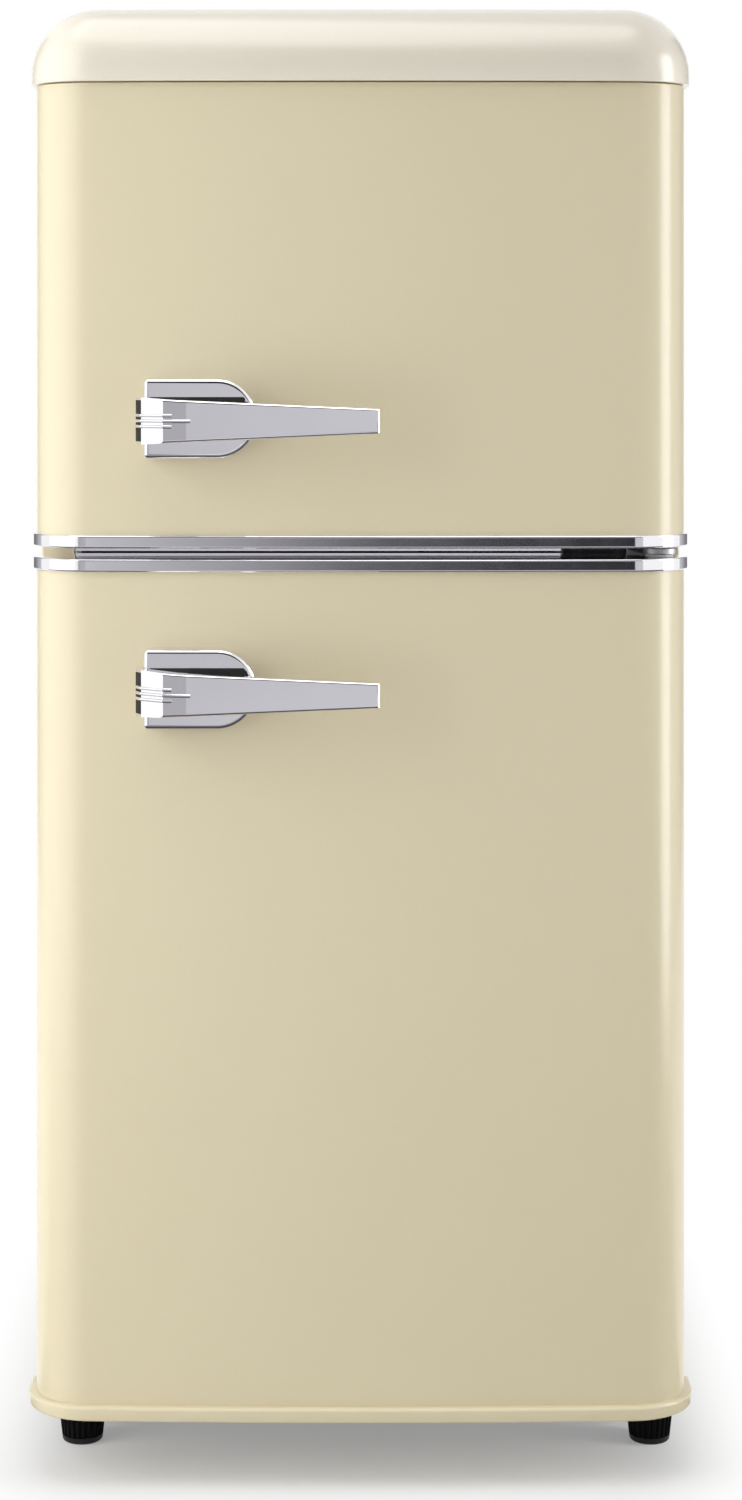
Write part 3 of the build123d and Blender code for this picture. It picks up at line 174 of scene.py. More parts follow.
blackEnamel = {
    "dark": (24, 24, 25), "light": (33, 33, 34), "driftScale": 12.0,
    "rough": (0.30, 0.42), "roughScale": 40.0,
    "bump": 0.10, "bumpDepth": 0.0005, "grainScale": 260.0,
}
wireCoat = {
    "dark": (228, 230, 230), "light": (238, 239, 238), "driftScale": 20.0,
    "rough": (0.26, 0.36), "roughScale": 60.0,
    "bump": 0.08, "bumpDepth": 0.0003, "grainScale": 400.0,
}
rolledAluminium = {
    "dark": (188, 190, 193), "light": (206, 208, 210), "driftScale": 18.0,
    "rough": (0.28, 0.40), "roughScale": 60.0, "stretch": (0.1, 1, 1),
    "bump": 0.06, "bumpDepth": 0.0003, "grainScale": 500.0,
    "sockets": {"Metallic": 1.0},
}
drawnCopper = {
    "dark": (170, 96, 62), "light": (206, 130, 92), "driftScale": 45.0,
    "rough": (0.22, 0.42), "roughScale": 70.0,
    "bump": 0.05, "bumpDepth": 0.0003, "grainScale": 400.0,
    "sockets": {"Metallic": 1.0},
}
blackMoulding = {
    "dark": (17, 16, 17), "light": (24, 23, 24), "driftScale": 30.0,
    "rough": (0.36, 0.48), "roughScale": 90.0,
    "bump": 0.14, "bumpDepth": 0.0004, "grainScale": 800.0,
    "sockets": {"Specular IOR Level": 0.3},
}
softRubber = {
    "dark": (26, 26, 27), "light": (36, 36, 36), "driftScale": 30.0,
    "rough": (0.62, 0.78), "roughScale": 60.0,
    "bump": 0.12, "bumpDepth": 0.0004, "grainScale": 600.0,
}
acetalWhite = {
    "dark": (232, 231, 227), "light": (241, 240, 236), "driftScale": 30.0,
    "rough": (0.34, 0.44), "roughScale": 60.0,
    "bump": 0.04, "bumpDepth": 0.0003, "grainScale": 500.0,
}

finishOf = {  # record slot to finish
    "cream_paint": makeFinish("creamEnamel", creamEnamel),
    "cream_plastic": makeFinish("creamMoulding", creamMoulding),
    "chrome": makeFinish("brightChrome", brightChrome),
    "white_plastic": makeFinish("linerWhite", linerWhite),
    "clear_plastic": makeFinish("tubPlastic", tubPlastic),
    "foam": makeFinish("paleFoam", paleFoam),
    "gasket": makeFinish("sealGrey", sealGrey),
    "glass": makeFinish("shelfGlass", shelfGlass),
    "zinc_steel": makeFinish("zincSheet", zincSheet),
    "grey_paint": makeFinish("slatePaint", slatePaint),
    "black_paint": makeFinish("blackEnamel", blackEnamel),
    "white_wire": makeFinish("wireCoat", wireCoat),
    "aluminium": makeFinish("rolledAluminium", rolledAluminium),
    "copper": makeFinish("drawnCopper", drawnCopper),
    "black_plastic": makeFinish("blackMoulding", blackMoulding),
    "black_rubber": makeFinish("softRubber", softRubber),
    "acetal": makeFinish("acetalWhite", acetalWhite),
}
print("finishes made:", len(finishOf))

for node, item in frame["nodes"].items():
    item.data.materials.clear()
    item.data.materials.append(finishOf[slotOf[node]])


# Pieces
meshSettings = {"weld": 1e-6, "sliver": 1e-7, "flatAngle": 0.5, "sharpAngle": 32}  # angles in degrees


def meshOf(name, bm):  # the shape as a mesh, with its bmesh let go
    mesh = bpy.data.meshes.new(name)
    bm.to_mesh(mesh)
    bm.free()
    return mesh


def putInScene(name, data):
    item = bpy.data.objects.new(name, data)
    bpy.context.scene.collection.objects.link(item)
    return item


def weld(bm):
    bmesh.ops.remove_doubles(bm, verts=bm.verts, dist=meshSettings["weld"])


def addPiece(name, bm, body, slot, stoodFor=None, finish=None,
             sharpAngle=meshSettings["sharpAngle"], flatAbove=None):
    weld(bm)
    bmesh.ops.recalc_face_normals(bm, faces=bm.faces)
    for face in bm.faces:  # flatAbove is the area from which a face stays flat
        face.smooth = flatAbove is None or face.calc_area() < flatAbove
    for edge in bm.edges:
        edge.smooth = edge.calc_face_angle(0) < radians(sharpAngle)
    mesh = meshOf(name, bm)
    mesh.materials.append(finish or finishOf[slot])
    piece = putInScene(name, mesh)
    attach(piece, body)
    if stoodFor:
        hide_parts(stoodFor)


def camel(node):
    first, *rest = node.split("_")
    return first + "".join(word.capitalize() for word in rest)


def solidCopy(node):  # a copy of the solid, with its loose triangles welded
    bm = bmesh.new()
    bm.from_mesh(frame["nodes"][node].data)
    weld(bm)
    return bm


def smoothCopy(node, flatAbove=None):  # the solid itself, smoothed over its round faces
    bm = solidCopy(node)
    bmesh.ops.dissolve_degenerate(bm, edges=bm.edges, dist=meshSettings["sliver"])
    if flatAbove:
        flatAngle = radians(meshSettings["flatAngle"])
        bmesh.ops.dissolve_limit(bm, angle_limit=flatAngle, verts=bm.verts, edges=bm.edges)
    addPiece(camel(node), bm, bodyOf[node], slotOf[node], node, flatAbove=flatAbove)


# Doors, trims and cap share one bowed plan, so each is a stack of rings bridged together
doorPlan = {
    "half": 0.2, "bow": 0.005, "corner": 0.036, "front": -0.222, "back": -0.168,
    "cornerSteps": 18, "bowSteps": 40,
}


def planRing(bm, z, grow, corner, back):  # one level outline with round corners and a bowed front
    flatHalf = doorPlan["half"]
    bowRadius = (flatHalf**2 + doorPlan["bow"] ** 2) / (2 * doorPlan["bow"])
    bowY = doorPlan["front"] + bowRadius
    half = flatHalf + grow
    inner = bowRadius + grow - corner
    cornerX = half - corner
    cornerY = bowY - sqrt(inner**2 - cornerX**2)
    swing = asin(cornerX / inner)
    before = set(bm.edges)
    first = bm.verts.new((-half, back, z))
    tip = bm.verts.new((-half, cornerY, z))
    bm.edges.new((first, tip))
    arcs = [
        (-cornerX, cornerY, pi / 2 - swing, doorPlan["cornerSteps"]),
        (0, bowY, 2 * swing, doorPlan["bowSteps"]),
        (cornerX, cornerY, pi / 2 - swing, doorPlan["cornerSteps"]),
    ]
    for x, y, angle, steps in arcs:
        made = bmesh.ops.spin(bm, geom=[tip], cent=(x, y, z), axis=(0, 0, 1), angle=angle, steps=steps)
        tip = [v for v in made["geom_last"] if isinstance(v, bmesh.types.BMVert)][0]
    last = bm.verts.new((half, back, z))
    bm.edges.new((tip, last))
    bm.edges.new((last, first))
    return [edge for edge in bm.edges if edge not in before]


def ringStack(profile, corner=doorPlan["corner"], back=doorPlan["back"]):
    bm = bmesh.new()  # profile: height and growth of each ring, from the bottom up
    loops = [planRing(bm, z, grow, corner + grow, back) for z, grow in profile]
    for low, high in zip(loops, loops[1:]):
        bmesh.ops.bridge_loops(bm, edges=low + high)
    bmesh.ops.contextual_create(bm, geom=loops[0])
    bmesh.ops.contextual_create(bm, geom=loops[-1])
    return bm


def roundEdge(z, grow, radius, up, steps=5):  # quarter round; up is 1 at a top rim, -1 at a bottom one
    turns = [pi / 2 * step / steps for step in range(steps + 1)]
    points = [(z + up * radius * (sin(t) - 1), grow + radius * (cos(t) - 1)) for t in turns]
    return points if up > 0 else points[::-1]


def makeSkin(door):
    node = door + "_skin"
    low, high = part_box(node)
    addPiece(camel(node), ringStack([(low.z, 0), (high.z, 0)]), door, "cream_paint", node)


trimSettings = {"proud": 0.0025, "height": 0.0078, "round": 0.0011, "land": 0.0002}


def makeTrim(door, low):  # low: height of its lower rim
    node = door + "_trim"
    proud, radius, high = trimSettings["proud"], trimSettings["round"], low + trimSettings["height"]
    inset = radius + trimSettings["land"]  # a narrow land beside each round keeps the face flat
    profile = roundEdge(low, proud, radius, -1) + [(low + inset, proud), (high - inset, proud)]
    profile += roundEdge(high, proud, radius, 1)
    addPiece(camel(node), ringStack(profile), door, "chrome", node)


baseTrimSettings = {"proud": 0.00475, "bottomRound": 0.0016, "topRound": 0.0022, "lean": 0.0006}


def makeBaseTrim():  # in the colour of the door above it
    node = "fridge_door_base_trim"
    low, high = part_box(node)[0].z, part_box("fridge_door_skin")[0].z
    proud = baseTrimSettings["proud"]
    profile = roundEdge(low, proud - baseTrimSettings["lean"], baseTrimSettings["bottomRound"], -1)
    profile += roundEdge(high, proud, baseTrimSettings["topRound"], 1)
    addPiece(camel(node), ringStack(profile), "fridge_door", "cream_plastic", node, finishOf["cream_paint"])


capSettings = {
    "proud": 0.0035, "corner": 0.042, "round": 0.041, "steps": 22, "lipRound": 0.0007, "lipSteps": 3,
}


def makeCap():
    low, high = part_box("top_cap")
    proud = capSettings["proud"]
    profile = roundEdge(low.z, proud, capSettings["lipRound"], -1, capSettings["lipSteps"])
    profile += roundEdge(high.z, proud, capSettings["round"], 1, capSettings["steps"])
    bm = ringStack(profile, capSettings["corner"] - proud, high.y)
    addPiece("topCap", bm, "cabinet", "cream_plastic", "top_cap")


doorTopSettings = {"gap": 0.0006, "round": 0.0008, "steps": 3}


def makeDoorTop():  # the freezer door's top moulding ends close under the cap's lip
    node = "freezer_door_top"
    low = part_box("freezer_door_skin")[1].z
    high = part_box("top_cap")[0].z - doorTopSettings["gap"]
    profile = [(low, 0)] + roundEdge(high, 0, doorTopSettings["round"], 1, doorTopSettings["steps"])
    addPiece(camel(node), ringStack(profile), "freezer_door", slotOf[node], node, finishOf["cream_paint"])


for door in doors:
    makeSkin(door)
makeTrim("freezer_door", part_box("freezer_door_trim")[0].z)
makeTrim("fridge_door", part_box("fridge_door_trim")[1].z - trimSettings["height"])
makeBaseTrim()
makeCap()
makeDoorTop()
print("doors, trims and cap made")

# Levers: a faceted end, a tapered arm with rounded rims, and three ridges round the end
leverSettings = {
    "facets": ((0.0034, 0.0066), (0.0138, 0.0104), (0.0139, 0.0024)),  # across and inward, side to face
    "thickness": 0.008, "shoulder": 0.0247, "hub": 0.0317, "fit": 0.0003,
    "halves": (0.0143, 0.0128, 0.0075),  # half its height at the end, the shoulder and the tip
    "rim": 0.0016, "rimSteps": 12, "sharpAngle": 8, "flatAbove": 0.00003,
}
ridgeSettings = {
    "proud": 0.0008, "height": 0.0021, "pitch": 0.0033, "ends": (0.0224, 0.0336, 0.0224),
    "depth": 0.001, "round": 0.001, "steps": 6,
}
edgeSettings = {  # which edges get a round: crease in degrees, and how far a face turns to the front or side
    "crease": 60, "square": 0.9, "slight": 0.1, "level": 1e-6,
}
# painted shade: a dark pad standing for the shadow band between each lever and its base
shadowPadSettings = {
    "left": 0.007, "right": 0.0653, "rise": 0.0141, "drop": 0.004, "proud": 0.0004, "round": 0.0014,
    "steps": 4,
}
# painted reflection: a dark strip standing for the dark reflection on each lever's outer side
darkReflectionSettings = {"proud": 0.0003, "depth": 0.0006, "half": 0.0124, "round": 0.0002, "steps": 2}


def prism(points, low, high):  # a plan outline drawn up from low to high
    bm = bmesh.new()
    base = bm.faces.new([bm.verts.new((x, y, low)) for x, y in points])
    made = bmesh.ops.extrude_face_region(bm, geom=[base])
    top = [v for v in made["geom"] if isinstance(v, bmesh.types.BMVert)]
    bmesh.ops.translate(bm, vec=(0, 0, high - low), verts=top)
    bmesh.ops.recalc_face_normals(bm, faces=bm.faces)
    return bm


def roundRims(bm, edges, radius, steps):
    bmesh.ops.bevel(bm, geom=edges, offset=radius, affect="EDGES", segments=steps, profile=0.5, material=-1)


def makeBlock(x, y, z):  # a box from its two ends along each axis
    bm = bmesh.new()
    bmesh.ops.create_cube(bm, size=1)
    bmesh.ops.scale(bm, vec=[high - low for low, high in (x, y, z)], verts=bm.verts)
    bmesh.ops.translate(bm, vec=[(low + high) / 2 for low, high in (x, y, z)], verts=bm.verts)
    return bm


def cutAcross(bm, x, clearOuter):  # cuts a shape by the upright plane at x
    whole = bm.verts[:] + bm.edges[:] + bm.faces[:]
    return bmesh.ops.bisect_plane(bm, geom=whole, plane_co=(x, 0, 0), plane_no=(1, 0, 0),
                                  clear_outer=clearOuter)


def joinInto(bm, extra):
    mesh = meshOf("joining", extra)
    bm.from_mesh(mesh)
    bpy.data.meshes.remove(mesh)


def isCrease(edge):
    return edge.calc_face_angle(0) > radians(edgeSettings["crease"])


def leverEnd(door):  # the lever's side and face inside its ridges, and its middle height
    low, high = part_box(door + "_handle_lever")
    return low.x + ridgeSettings["proud"], low.y + ridgeSettings["proud"], (low.z + high.z) / 2


def noseCorners(left, face, grow):  # plan corners of the faceted end, moved out by grow
    facets = leverSettings["facets"]
    corners = [Vector((left, face + sum(inward for across, inward in facets)))]
    for across, inward in facets:
        corners.append(corners[-1] + Vector((across, -inward)))
    runs = [(after - before).normalized() for before, after in zip(corners, corners[1:])]
    outward = [Vector((run.y, -run.x)) for run in [Vector((0, -1))] + runs + [Vector((1, 0))]]
    moved = []
    for corner, before, after in zip(corners, outward, outward[1:]):
        moved.append(corner + (before + after) * (grow / (1 + before.dot(after))))
    return [tuple(corner) for corner in moved]


def makeRidge(door, place, reach):  # place: -1, 0 or 1 from the middle one; reach: how far it runs
    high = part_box(door + "_handle_lever")[1]
    right, wrap = high.x, high.y
    left, face, middle = leverEnd(door)
    proud, depth = ridgeSettings["proud"], ridgeSettings["depth"]
    path = [(left - proud, wrap - depth)] + noseCorners(left, face, proud) + [(right, face - proud)]
    path += [(right, face + depth)] + noseCorners(left, face, -depth)[::-1]
    path += [(left + depth, wrap - depth)]
    z = middle + place * ridgeSettings["pitch"]
    half = ridgeSettings["height"] / 2
    ridge = prism(path, z - half, z + half)
    cut = cutAcross(ridge, left + reach, True)
    openEnd = [edge for edge in cut["geom_cut"] if isinstance(edge, bmesh.types.BMEdge)]
    bmesh.ops.contextual_create(ridge, geom=openEnd)
    bmesh.ops.recalc_face_normals(ridge, faces=ridge.faces)
    ridge.normal_update()
    square, slight = edgeSettings["square"], edgeSettings["slight"]
    fronts = [
        edge for edge in ridge.edges
        if abs(edge.verts[0].co.z - edge.verts[1].co.z) < edgeSettings["level"]
        and any(f.normal.y < -slight or f.normal.x < -square for f in edge.link_faces)
        and isCrease(edge)
        and min(v.co.y for v in edge.verts) < wrap - 2 * depth
    ]
    roundRims(ridge, fronts, ridgeSettings["round"], ridgeSettings["steps"])
    return ridge


def makeLever(door):
    node = door + "_handle_lever"
    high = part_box(node)[1]
    right, wrap = high.x, high.y
    left, face, middle = leverEnd(door)
    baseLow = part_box(door + "_handle_base")[0]
    shoulder = left + leverSettings["shoulder"]
    hub = left + leverSettings["hub"]
    armBack = face + leverSettings["thickness"]
    seat = baseLow.x - leverSettings["fit"]
    outline = [(left, wrap)] + noseCorners(left, face, 0)
    outline += [(right, face), (right, armBack), (hub, armBack), (hub, baseLow.y)]
    outline += [(seat, baseLow.y), (seat, wrap)]
    atEnd, atShoulder, atTip = leverSettings["halves"]
    bm = prism(outline, middle - atEnd, middle + atEnd)
    cutAcross(bm, shoulder, False)
    for v in bm.verts:
        if v.co.x < shoulder:
            half = atEnd + (atShoulder - atEnd) * (v.co.x - left) / (shoulder - left)
        else:
            half = atShoulder + (atTip - atShoulder) * (v.co.x - shoulder) / (right - shoulder)
        v.co.z = middle + half * (1 if v.co.z > middle else -1)
    bm.normal_update()
    rims = [
        edge for edge in bm.edges
        if min(f.normal.y for f in edge.link_faces) < -edgeSettings["square"] and isCrease(edge)
    ]
    roundRims(bm, rims, leverSettings["rim"], leverSettings["rimSteps"])
    for place, reach in zip((-1, 0, 1), ridgeSettings["ends"]):
        joinInto(bm, makeRidge(door, place, reach))
    addPiece(camel(node), bm, door, "chrome", node,
             sharpAngle=leverSettings["sharpAngle"], flatAbove=leverSettings["flatAbove"])


def makeShadowPad(door):  # painted shade: a dark pad between a lever and its base stands for the shadow band there
    left, _, middle = leverEnd(door)
    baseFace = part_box(door + "_handle_base")[0].y
    proud = shadowPadSettings["proud"]
    bm = makeBlock((left + shadowPadSettings["left"], left + shadowPadSettings["right"]),
                   (baseFace - proud, baseFace + proud),
                   (middle - shadowPadSettings["drop"], middle + shadowPadSettings["rise"]))
    corners = [edge for edge in bm.edges if abs(edge.verts[0].co.y - edge.verts[1].co.y) > proud]
    roundRims(bm, corners, shadowPadSettings["round"], shadowPadSettings["steps"])
    addPiece(camel(door) + "HandleSeat", bm, door, "black_rubber")


def makeDarkReflectionStrip(door):  # painted reflection: a dark strip let into the lever's outer side, under the ridges, stands for the dark reflection there
    left, face, middle = leverEnd(door)
    outer = noseCorners(left, face, darkReflectionSettings["proud"])[:2]
    inner = noseCorners(left, face, -darkReflectionSettings["depth"])[:2]
    bm = prism(outer + inner[::-1], middle - darkReflectionSettings["half"], middle + darkReflectionSettings["half"])
    roundRims(bm, bm.edges[:], darkReflectionSettings["round"], darkReflectionSettings["steps"])
    addPiece(camel(door) + "HandleStrip", bm, door, "black_rubber")


for door in doors:
    makeLever(door)
    makeShadowPad(door)
    makeDarkReflectionStrip(door)
print("levers made")

# Middle hinge: a thin black sheet laid on its flange, and thin white strips beside it that are painted
# highlights at the rail's left end and the flange's left edge
facingSettings = {
    "left": 0.127, "right": 0.1665, "half": 0.0095, "proud": 0.0003, "round": 0.00015, "steps": 3,
    "ahead": 0.0025,  # from the rail to the front of the flange
}
# painted highlights: thin white strips at the rail's left end and at the hinge flange's left edge
highlightStripSettings = {
    "places": {"left": -0.1794, "right": 0.1262}, "width": 0.001, "depth": 0.0024, "half": 0.008,
    "round": 0.0003, "steps": 3,
}
railLow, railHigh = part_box("mullion_rail")
splitZ = (railLow.z + railHigh.z) / 2


def makeFacing():
    flangeFront = railLow.y - facingSettings["ahead"]
    proud, half = facingSettings["proud"], facingSettings["half"]
    bm = makeBlock((facingSettings["left"], facingSettings["right"]),
                   (flangeFront - proud, flangeFront + proud), (splitZ - half, splitZ + half))
    roundRims(bm, bm.edges[:], facingSettings["round"], facingSettings["steps"])
    addPiece("middleHingeFacing", bm, "cabinet", "black_paint")


# painted highlight: one thin white strip standing upright on the rail's front
def makeHighlightStrip(side, x):
    wide, half, radius = highlightStripSettings["width"] / 2, highlightStripSettings["half"], highlightStripSettings["round"]
    bm = makeBlock((x - wide, x + wide), (railLow.y - highlightStripSettings["depth"], railLow.y + radius),
                   (splitZ - half, splitZ + half))
    roundRims(bm, bm.edges[:], radius, highlightStripSettings["steps"])
    addPiece(side + "RailClip", bm, "cabinet", "white_plastic")


makeFacing()
for side, x in highlightStripSettings["places"].items():
    makeHighlightStrip(side, x)
print("hinge facing and rail highlights made")

# Screws: the solids with a cross cut into each head, black on the middle hinge and zinc elsewhere
screwSettings = {"cross": 0.0048, "slot": 0.0011, "depth": 0.0012, "shank": 0.0025, "widest": 0.0045}


def islands(bm):  # the separate solids of a mesh, as lists of vertices
    done = set()
    for start in bm.verts:
        if start in done:
            continue
        done.add(start)
        group, front = [], [start]
        while front:
            v = front.pop()
            group.append(v)
            near = [edge.other_vert(v) for edge in v.link_edges]
            near = [other for other in near if other not in done]
            done.update(near)
            front += near
        yield group


def cutCross(cutter, group):  # two crossed bars at the middle of a screw's head
    low = Vector([min(v.co[i] for v in group) for i in range(3)])
    high = Vector([max(v.co[i] for v in group) for i in range(3)])
    along = max(range(3), key=lambda i: high[i] - low[i])
    across = [i for i in range(3) if i != along]
    middle = (low + high) / 2
    if max(high[i] - middle[i] for i in across) > screwSettings["widest"]:  # larger bolts have no cross
        return
    head = [v for v in group if max(abs(v.co[i] - middle[i]) for i in across) > screwSettings["shank"]]
    atHigh = head[0].co[along] > middle[along]
    middle[along] = high[along] if atHigh else low[along]
    for wide, narrow in (across, across[::-1]):
        bar = [2 * screwSettings["depth"]] * 3
        bar[wide], bar[narrow] = screwSettings["cross"], screwSettings["slot"]
        made = bmesh.ops.create_cube(cutter, size=1)
        bmesh.ops.scale(cutter, vec=bar, verts=made["verts"])
        bmesh.ops.translate(cutter, vec=middle, verts=made["verts"])


def makeScrews(name, finish, onHinge):
    node = "cabinet_fasteners"
    bm = solidCopy(node)
    cutter = bmesh.new()
    for group in list(islands(bm)):
        atHinge = all(abs(v.co.z - splitZ) < facingSettings["half"] for v in group)
        if atHinge == onHinge:
            cutCross(cutter, group)
        else:
            bmesh.ops.delete(bm, geom=group, context="VERTS")
    screws, bars = [putInScene("screwWork", meshOf("screwWork", shape)) for shape in (bm, cutter)]
    cut = screws.modifiers.new("cross", "BOOLEAN")
    cut.operation = "DIFFERENCE"
    cut.solver = "EXACT"
    cut.use_self = True
    cut.object = bars
    bpy.context.view_layer.update()
    result = bpy.data.meshes.new_from_object(screws.evaluated_get(bpy.context.evaluated_depsgraph_get()))
    bm = bmesh.new()
    bm.from_mesh(result)
    bpy.data.meshes.remove(result)
    for item in (screws, bars):
        mesh = item.data
        bpy.data.objects.remove(item)
        bpy.data.meshes.remove(mesh)
    addPiece(name, bm, "cabinet", slotOf[node], node, finish)


makeScrews("cabinetFasteners", finishOf["zinc_steel"], False)
makeScrews("middleHingeScrews", finishOf["black_paint"], True)
print("screws cut")

# Round and moulded solids keep their shape and are welded and smoothed
roundNodes = [
    "left_foot_knob", "right_foot_knob", "left_foot_stud", "right_foot_stud", "rear_feet",
    "thermostat_housing", "thermostat_knob", "freezer_shelf", "crisper_drawer", "freezer_door_rack",
    "bottle_rack", "upper_door_rack", "compressor", "compressor_grommets", "terminal_cover",
    "refrigerant_tubes", "filter_drier", "drain_pan", "drain_tube", "condenser_tube", "evaporator",
    "cord_gland", "top_hinge", "middle_hinge", "bottom_hinge", "freezer_door_bushes",
    "fridge_door_bushes", "freezer_door_gasket", "fridge_door_gasket", "freezer_liner", "fridge_liner",
    "freezer_door_liner", "fridge_door_liner", "cabinet_shell",
]
handleBaseSettings = {"flatAbove": 0.00002}
for node in roundNodes:
    smoothCopy(node)
for door in doors:
    smoothCopy(door + "_handle_base", handleBaseSettings["flatAbove"])
print("round solids smoothed:", len(roundNodes))

# Studio: pale floor, soft boxes, and cards that only metal and gloss see
flag = {
    "half": (1.0, 1.1), "turn": 90, "tilt": 0,
    "tones": ((205, 204, 207), (150, 149, 152), (118, 117, 120), (96, 95, 98)),
}
studio = {
    "ambient": 0.26,
    # glow: the share of plain white the camera sees on the floor even under the fridge, painted light that
    # lightens its shadow
    "floor": {"color": (238, 238, 238), "rough": 0.9, "shine": 0.1, "glow": 0.25,
              "radius": 7.0, "sides": 96},
    "shadow": {  # the floor keeps its shade near this footprint and turns white away from it
        "center": (0, 0.02, 0), "half": (0.15, 0.2, 0), "start": 0.02, "end": 0.11,
    },
    "lamps": {
        "keySoftbox": {"place": (-1.1, -0.75, 0.72), "aim": (0, -0.2, 0.5),
                       "size": (0.9, 1.6), "power": 16.5},
        "rimSoftbox": {"place": (1.35, -0.4, 0.7), "aim": (0.1, -0.2, 0.5),
                       "size": (0.5, 1.4), "power": 11},
        "topSoftbox": {"place": (-0.2, -0.45, 2.3), "aim": (0, -0.2, 0.5),
                       "size": (1.6, 1.2), "power": 11},
    },
    "cards": {  # what metal sees: place, half sizes, turn about Z, tilt about X and tones from end to end
        "greyCard": {"place": (0, -3.2, 0.375), "half": (1.7, 0.825), "turn": 0, "tilt": 0,
                     "tones": ((172, 171, 175), (184, 183, 187), (206, 205, 209), (206, 205, 209),
                               (206, 205, 209))},
        "darkBand": {"place": (0, -3.1, 0.35), "half": (0.9, 0.11), "turn": 0, "tilt": 0,
                     "tones": ((202, 201, 205), (190, 189, 193), (158, 157, 161), (97, 96, 100),
                               (68, 67, 71), (38, 37, 40), (30, 29, 32))},
        "highBand": {"place": (0, -3.2, 2.4), "half": (1.7, 1.2), "turn": 0, "tilt": 0,
                     "tones": ((60, 59, 62), (52, 51, 54))},
        "lowBand": {"place": (0, -1.3, 0.004), "half": (1.2, 2.2), "turn": 90, "tilt": 90,
                    "tones": ((208, 207, 211), (182, 181, 185), (104, 103, 107), (44, 43, 46))},
        "keyCard": {"place": (-1.056, -0.728, 0.711), "half": (0.56, 0.92), "turn": -63.4, "tilt": -10,
                    "tones": ((255, 255, 255), (255, 255, 255)), "strength": 1.15},
        "leftFlag": {"place": (-1.6, 1.4, 0.9), **flag},
        "rightFlag": {"place": (1.6, 1.4, 0.9), **flag},
    },
}


def addLamp(name, setting):
    data = bpy.data.lights.new(name, "AREA")
    data.shape = "RECTANGLE"
    data.size, data.size_y = setting["size"]
    data.energy = setting["power"]
    lamp = putInScene(name, data)
    lamp.location = setting["place"]
    aim = Vector(setting["aim"]) - Vector(setting["place"])
    lamp.rotation_euler = aim.to_track_quat("-Z", "Y").to_euler()


def seenDirectly(tree):  # 1 for what the camera, metal or glass sees, else 0
    path = tree.nodes.new("ShaderNodeLightPath")
    seen = path.outputs["Is Camera Ray"]
    for name in ("Is Glossy Ray", "Is Transmission Ray"):
        either = tree.nodes.new("ShaderNodeMath")
        either.operation = "MAXIMUM"
        tree.links.new(seen, either.inputs[0])
        tree.links.new(path.outputs[name], either.inputs[1])
        seen = either.outputs[0]
    return seen


def makeWorld():
    world = bpy.data.worlds.new("studioWorld")
    bpy.context.scene.world = world
    world.use_nodes = True
    tree = world.node_tree
    background = tree.nodes["Background"]
    strength = tree.nodes.new("ShaderNodeMapRange")  # white where it is seen, dimmer as light
    strength.inputs["To Min"].default_value = studio["ambient"]
    strength.inputs["To Max"].default_value = 1.0
    background.inputs["Color"].default_value = (1, 1, 1, 1)
    tree.links.new(seenDirectly(tree), strength.inputs["Value"])
    tree.links.new(strength.outputs["Result"], background.inputs["Strength"])


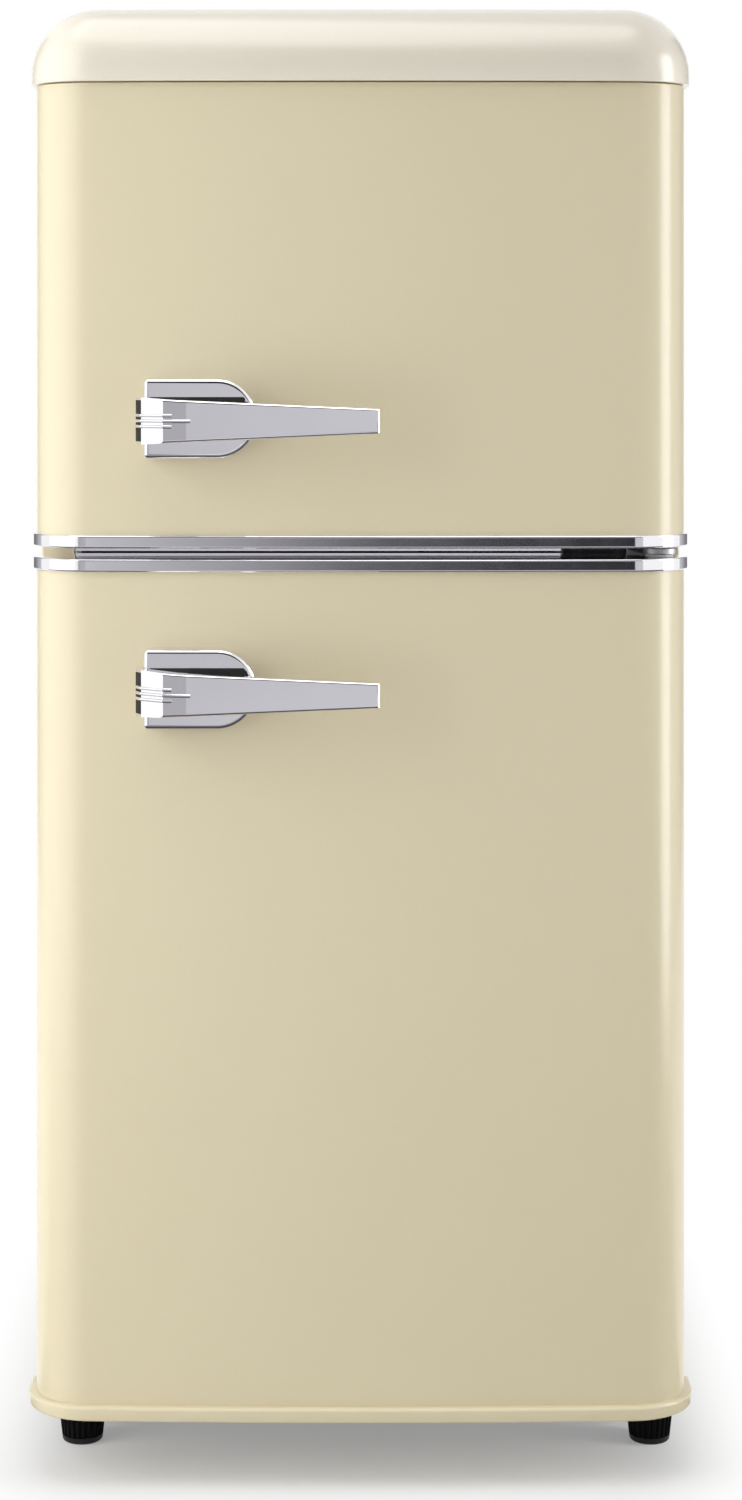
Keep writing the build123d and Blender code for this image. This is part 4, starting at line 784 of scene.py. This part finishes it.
def makeFloor():
    material, tree = newMaterial("studioFloor")
    setting, shadow = studio["floor"], studio["shadow"]
    shader = tree.nodes["Principled BSDF"]
    shader.inputs["Base Color"].default_value = tint(*setting["color"])
    shader.inputs["Roughness"].default_value = setting["rough"]
    shader.inputs["Specular IOR Level"].default_value = setting["shine"]
    glow = tree.nodes.new("ShaderNodeEmission")
    glow.inputs["Strength"].default_value = 1.0
    place = tree.nodes.new("ShaderNodeTexCoord")
    way = place.outputs["Object"]  # turned into the distance from the fridge's footprint
    for operation, amount in (("SUBTRACT", shadow["center"]), ("ABSOLUTE", None),
                              ("SUBTRACT", shadow["half"]), ("MAXIMUM", (0, 0, 0))):
        step = tree.nodes.new("ShaderNodeVectorMath")
        step.operation = operation
        if amount:
            step.inputs[1].default_value = amount
        tree.links.new(way, step.inputs[0])
        way = step.outputs["Vector"]
    far = tree.nodes.new("ShaderNodeVectorMath")
    far.operation = "LENGTH"
    fade = tree.nodes.new("ShaderNodeMapRange")
    fade.interpolation_type = "SMOOTHSTEP"
    fade.inputs["From Min"].default_value = shadow["start"]
    fade.inputs["From Max"].default_value = shadow["end"]
    fade.inputs["To Min"].default_value = setting["glow"]
    white = tree.nodes.new("ShaderNodeMath")  # the white is only seen, it lights nothing
    white.operation = "MULTIPLY"
    mix = tree.nodes.new("ShaderNodeMixShader")
    tree.links.new(way, far.inputs[0])
    tree.links.new(far.outputs["Value"], fade.inputs["Value"])
    tree.links.new(fade.outputs["Result"], white.inputs[0])
    tree.links.new(seenDirectly(tree), white.inputs[1])
    tree.links.new(white.outputs["Value"], mix.inputs["Fac"])
    tree.links.new(shader.outputs["BSDF"], mix.inputs[1])
    tree.links.new(glow.outputs["Emission"], mix.inputs[2])
    tree.links.new(mix.outputs["Shader"], tree.nodes["Material Output"].inputs["Surface"])
    bm = bmesh.new()
    bmesh.ops.create_circle(bm, cap_ends=True, segments=setting["sides"], radius=setting["radius"])
    mesh = meshOf("studioFloor", bm)
    mesh.materials.append(material)
    floor = putInScene("studioFloor", mesh)
    floor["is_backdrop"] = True


def makeCard(name, setting):
    material, tree = newMaterial(name)
    tree.nodes.remove(tree.nodes["Principled BSDF"])
    glow = tree.nodes.new("ShaderNodeEmission")
    glow.inputs["Strength"].default_value = setting.get("strength", 1.0)
    tone = tree.nodes.new("ShaderNodeValToRGB")
    tones = setting["tones"]
    for step in range(1, len(tones) - 1):
        tone.color_ramp.elements.new(step / (len(tones) - 1))
    for stop, color in zip(tone.color_ramp.elements, tones):
        stop.color = tint(*color)
    across = tree.nodes.new("ShaderNodeMapRange")
    across.inputs["From Min"].default_value = -setting["half"][0]
    across.inputs["From Max"].default_value = setting["half"][0]
    place = tree.nodes.new("ShaderNodeTexCoord")
    split = tree.nodes.new("ShaderNodeSeparateXYZ")
    tree.links.new(place.outputs["Object"], split.inputs["Vector"])
    tree.links.new(split.outputs["X"], across.inputs["Value"])
    tree.links.new(across.outputs["Result"], tone.inputs["Fac"])
    tree.links.new(tone.outputs["Color"], glow.inputs["Color"])
    tree.links.new(glow.outputs["Emission"], tree.nodes["Material Output"].inputs["Surface"])
    bm = bmesh.new()
    bmesh.ops.create_grid(bm, x_segments=1, y_segments=1, size=1)
    bmesh.ops.scale(bm, vec=(*setting["half"], 1), verts=bm.verts)
    bmesh.ops.rotate(bm, cent=(0, 0, 0), matrix=Matrix.Rotation(pi / 2, 3, "X"), verts=bm.verts)
    mesh = meshOf(name, bm)
    mesh.materials.append(material)
    card = putInScene(name, mesh)
    card.location = setting["place"]
    card.rotation_euler = (radians(setting["tilt"]), 0, radians(setting["turn"]))
    for seenBy in ("visible_camera", "visible_diffuse", "visible_shadow", "visible_transmission"):
        setattr(card, seenBy, False)
    card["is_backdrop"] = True


for name, setting in studio["lamps"].items():
    addLamp(name, setting)
makeWorld()
makeFloor()
for name, setting in studio["cards"].items():
    makeCard(name, setting)
print("studio set")

cameraSettings = {
    "place": (0, -2.046, 0.6928), "lens": 72.3, "sensor": 36, "shift": (0.007, -0.27), "clipEnd": 50,
}
cameraData = bpy.data.cameras.new("photoCamera")
cameraData.sensor_width = cameraSettings["sensor"]
cameraData.lens = cameraSettings["lens"]
cameraData.shift_x, cameraData.shift_y = cameraSettings["shift"]
cameraData.clip_end = cameraSettings["clipEnd"]
camera = putInScene("photoCamera", cameraData)
camera.location = cameraSettings["place"]
camera.rotation_euler = (pi / 2, 0, 0)  # level, looking straight at the doors
bpy.context.scene.camera = camera
bpy.context.scene.view_settings.view_transform = "Standard"

bpy.context.view_layer.update()
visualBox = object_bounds()
boxes = {"cad": cadBox, "visual": visualBox}
{name: [list(corner) for corner in box] for name, box in boxes.items()}
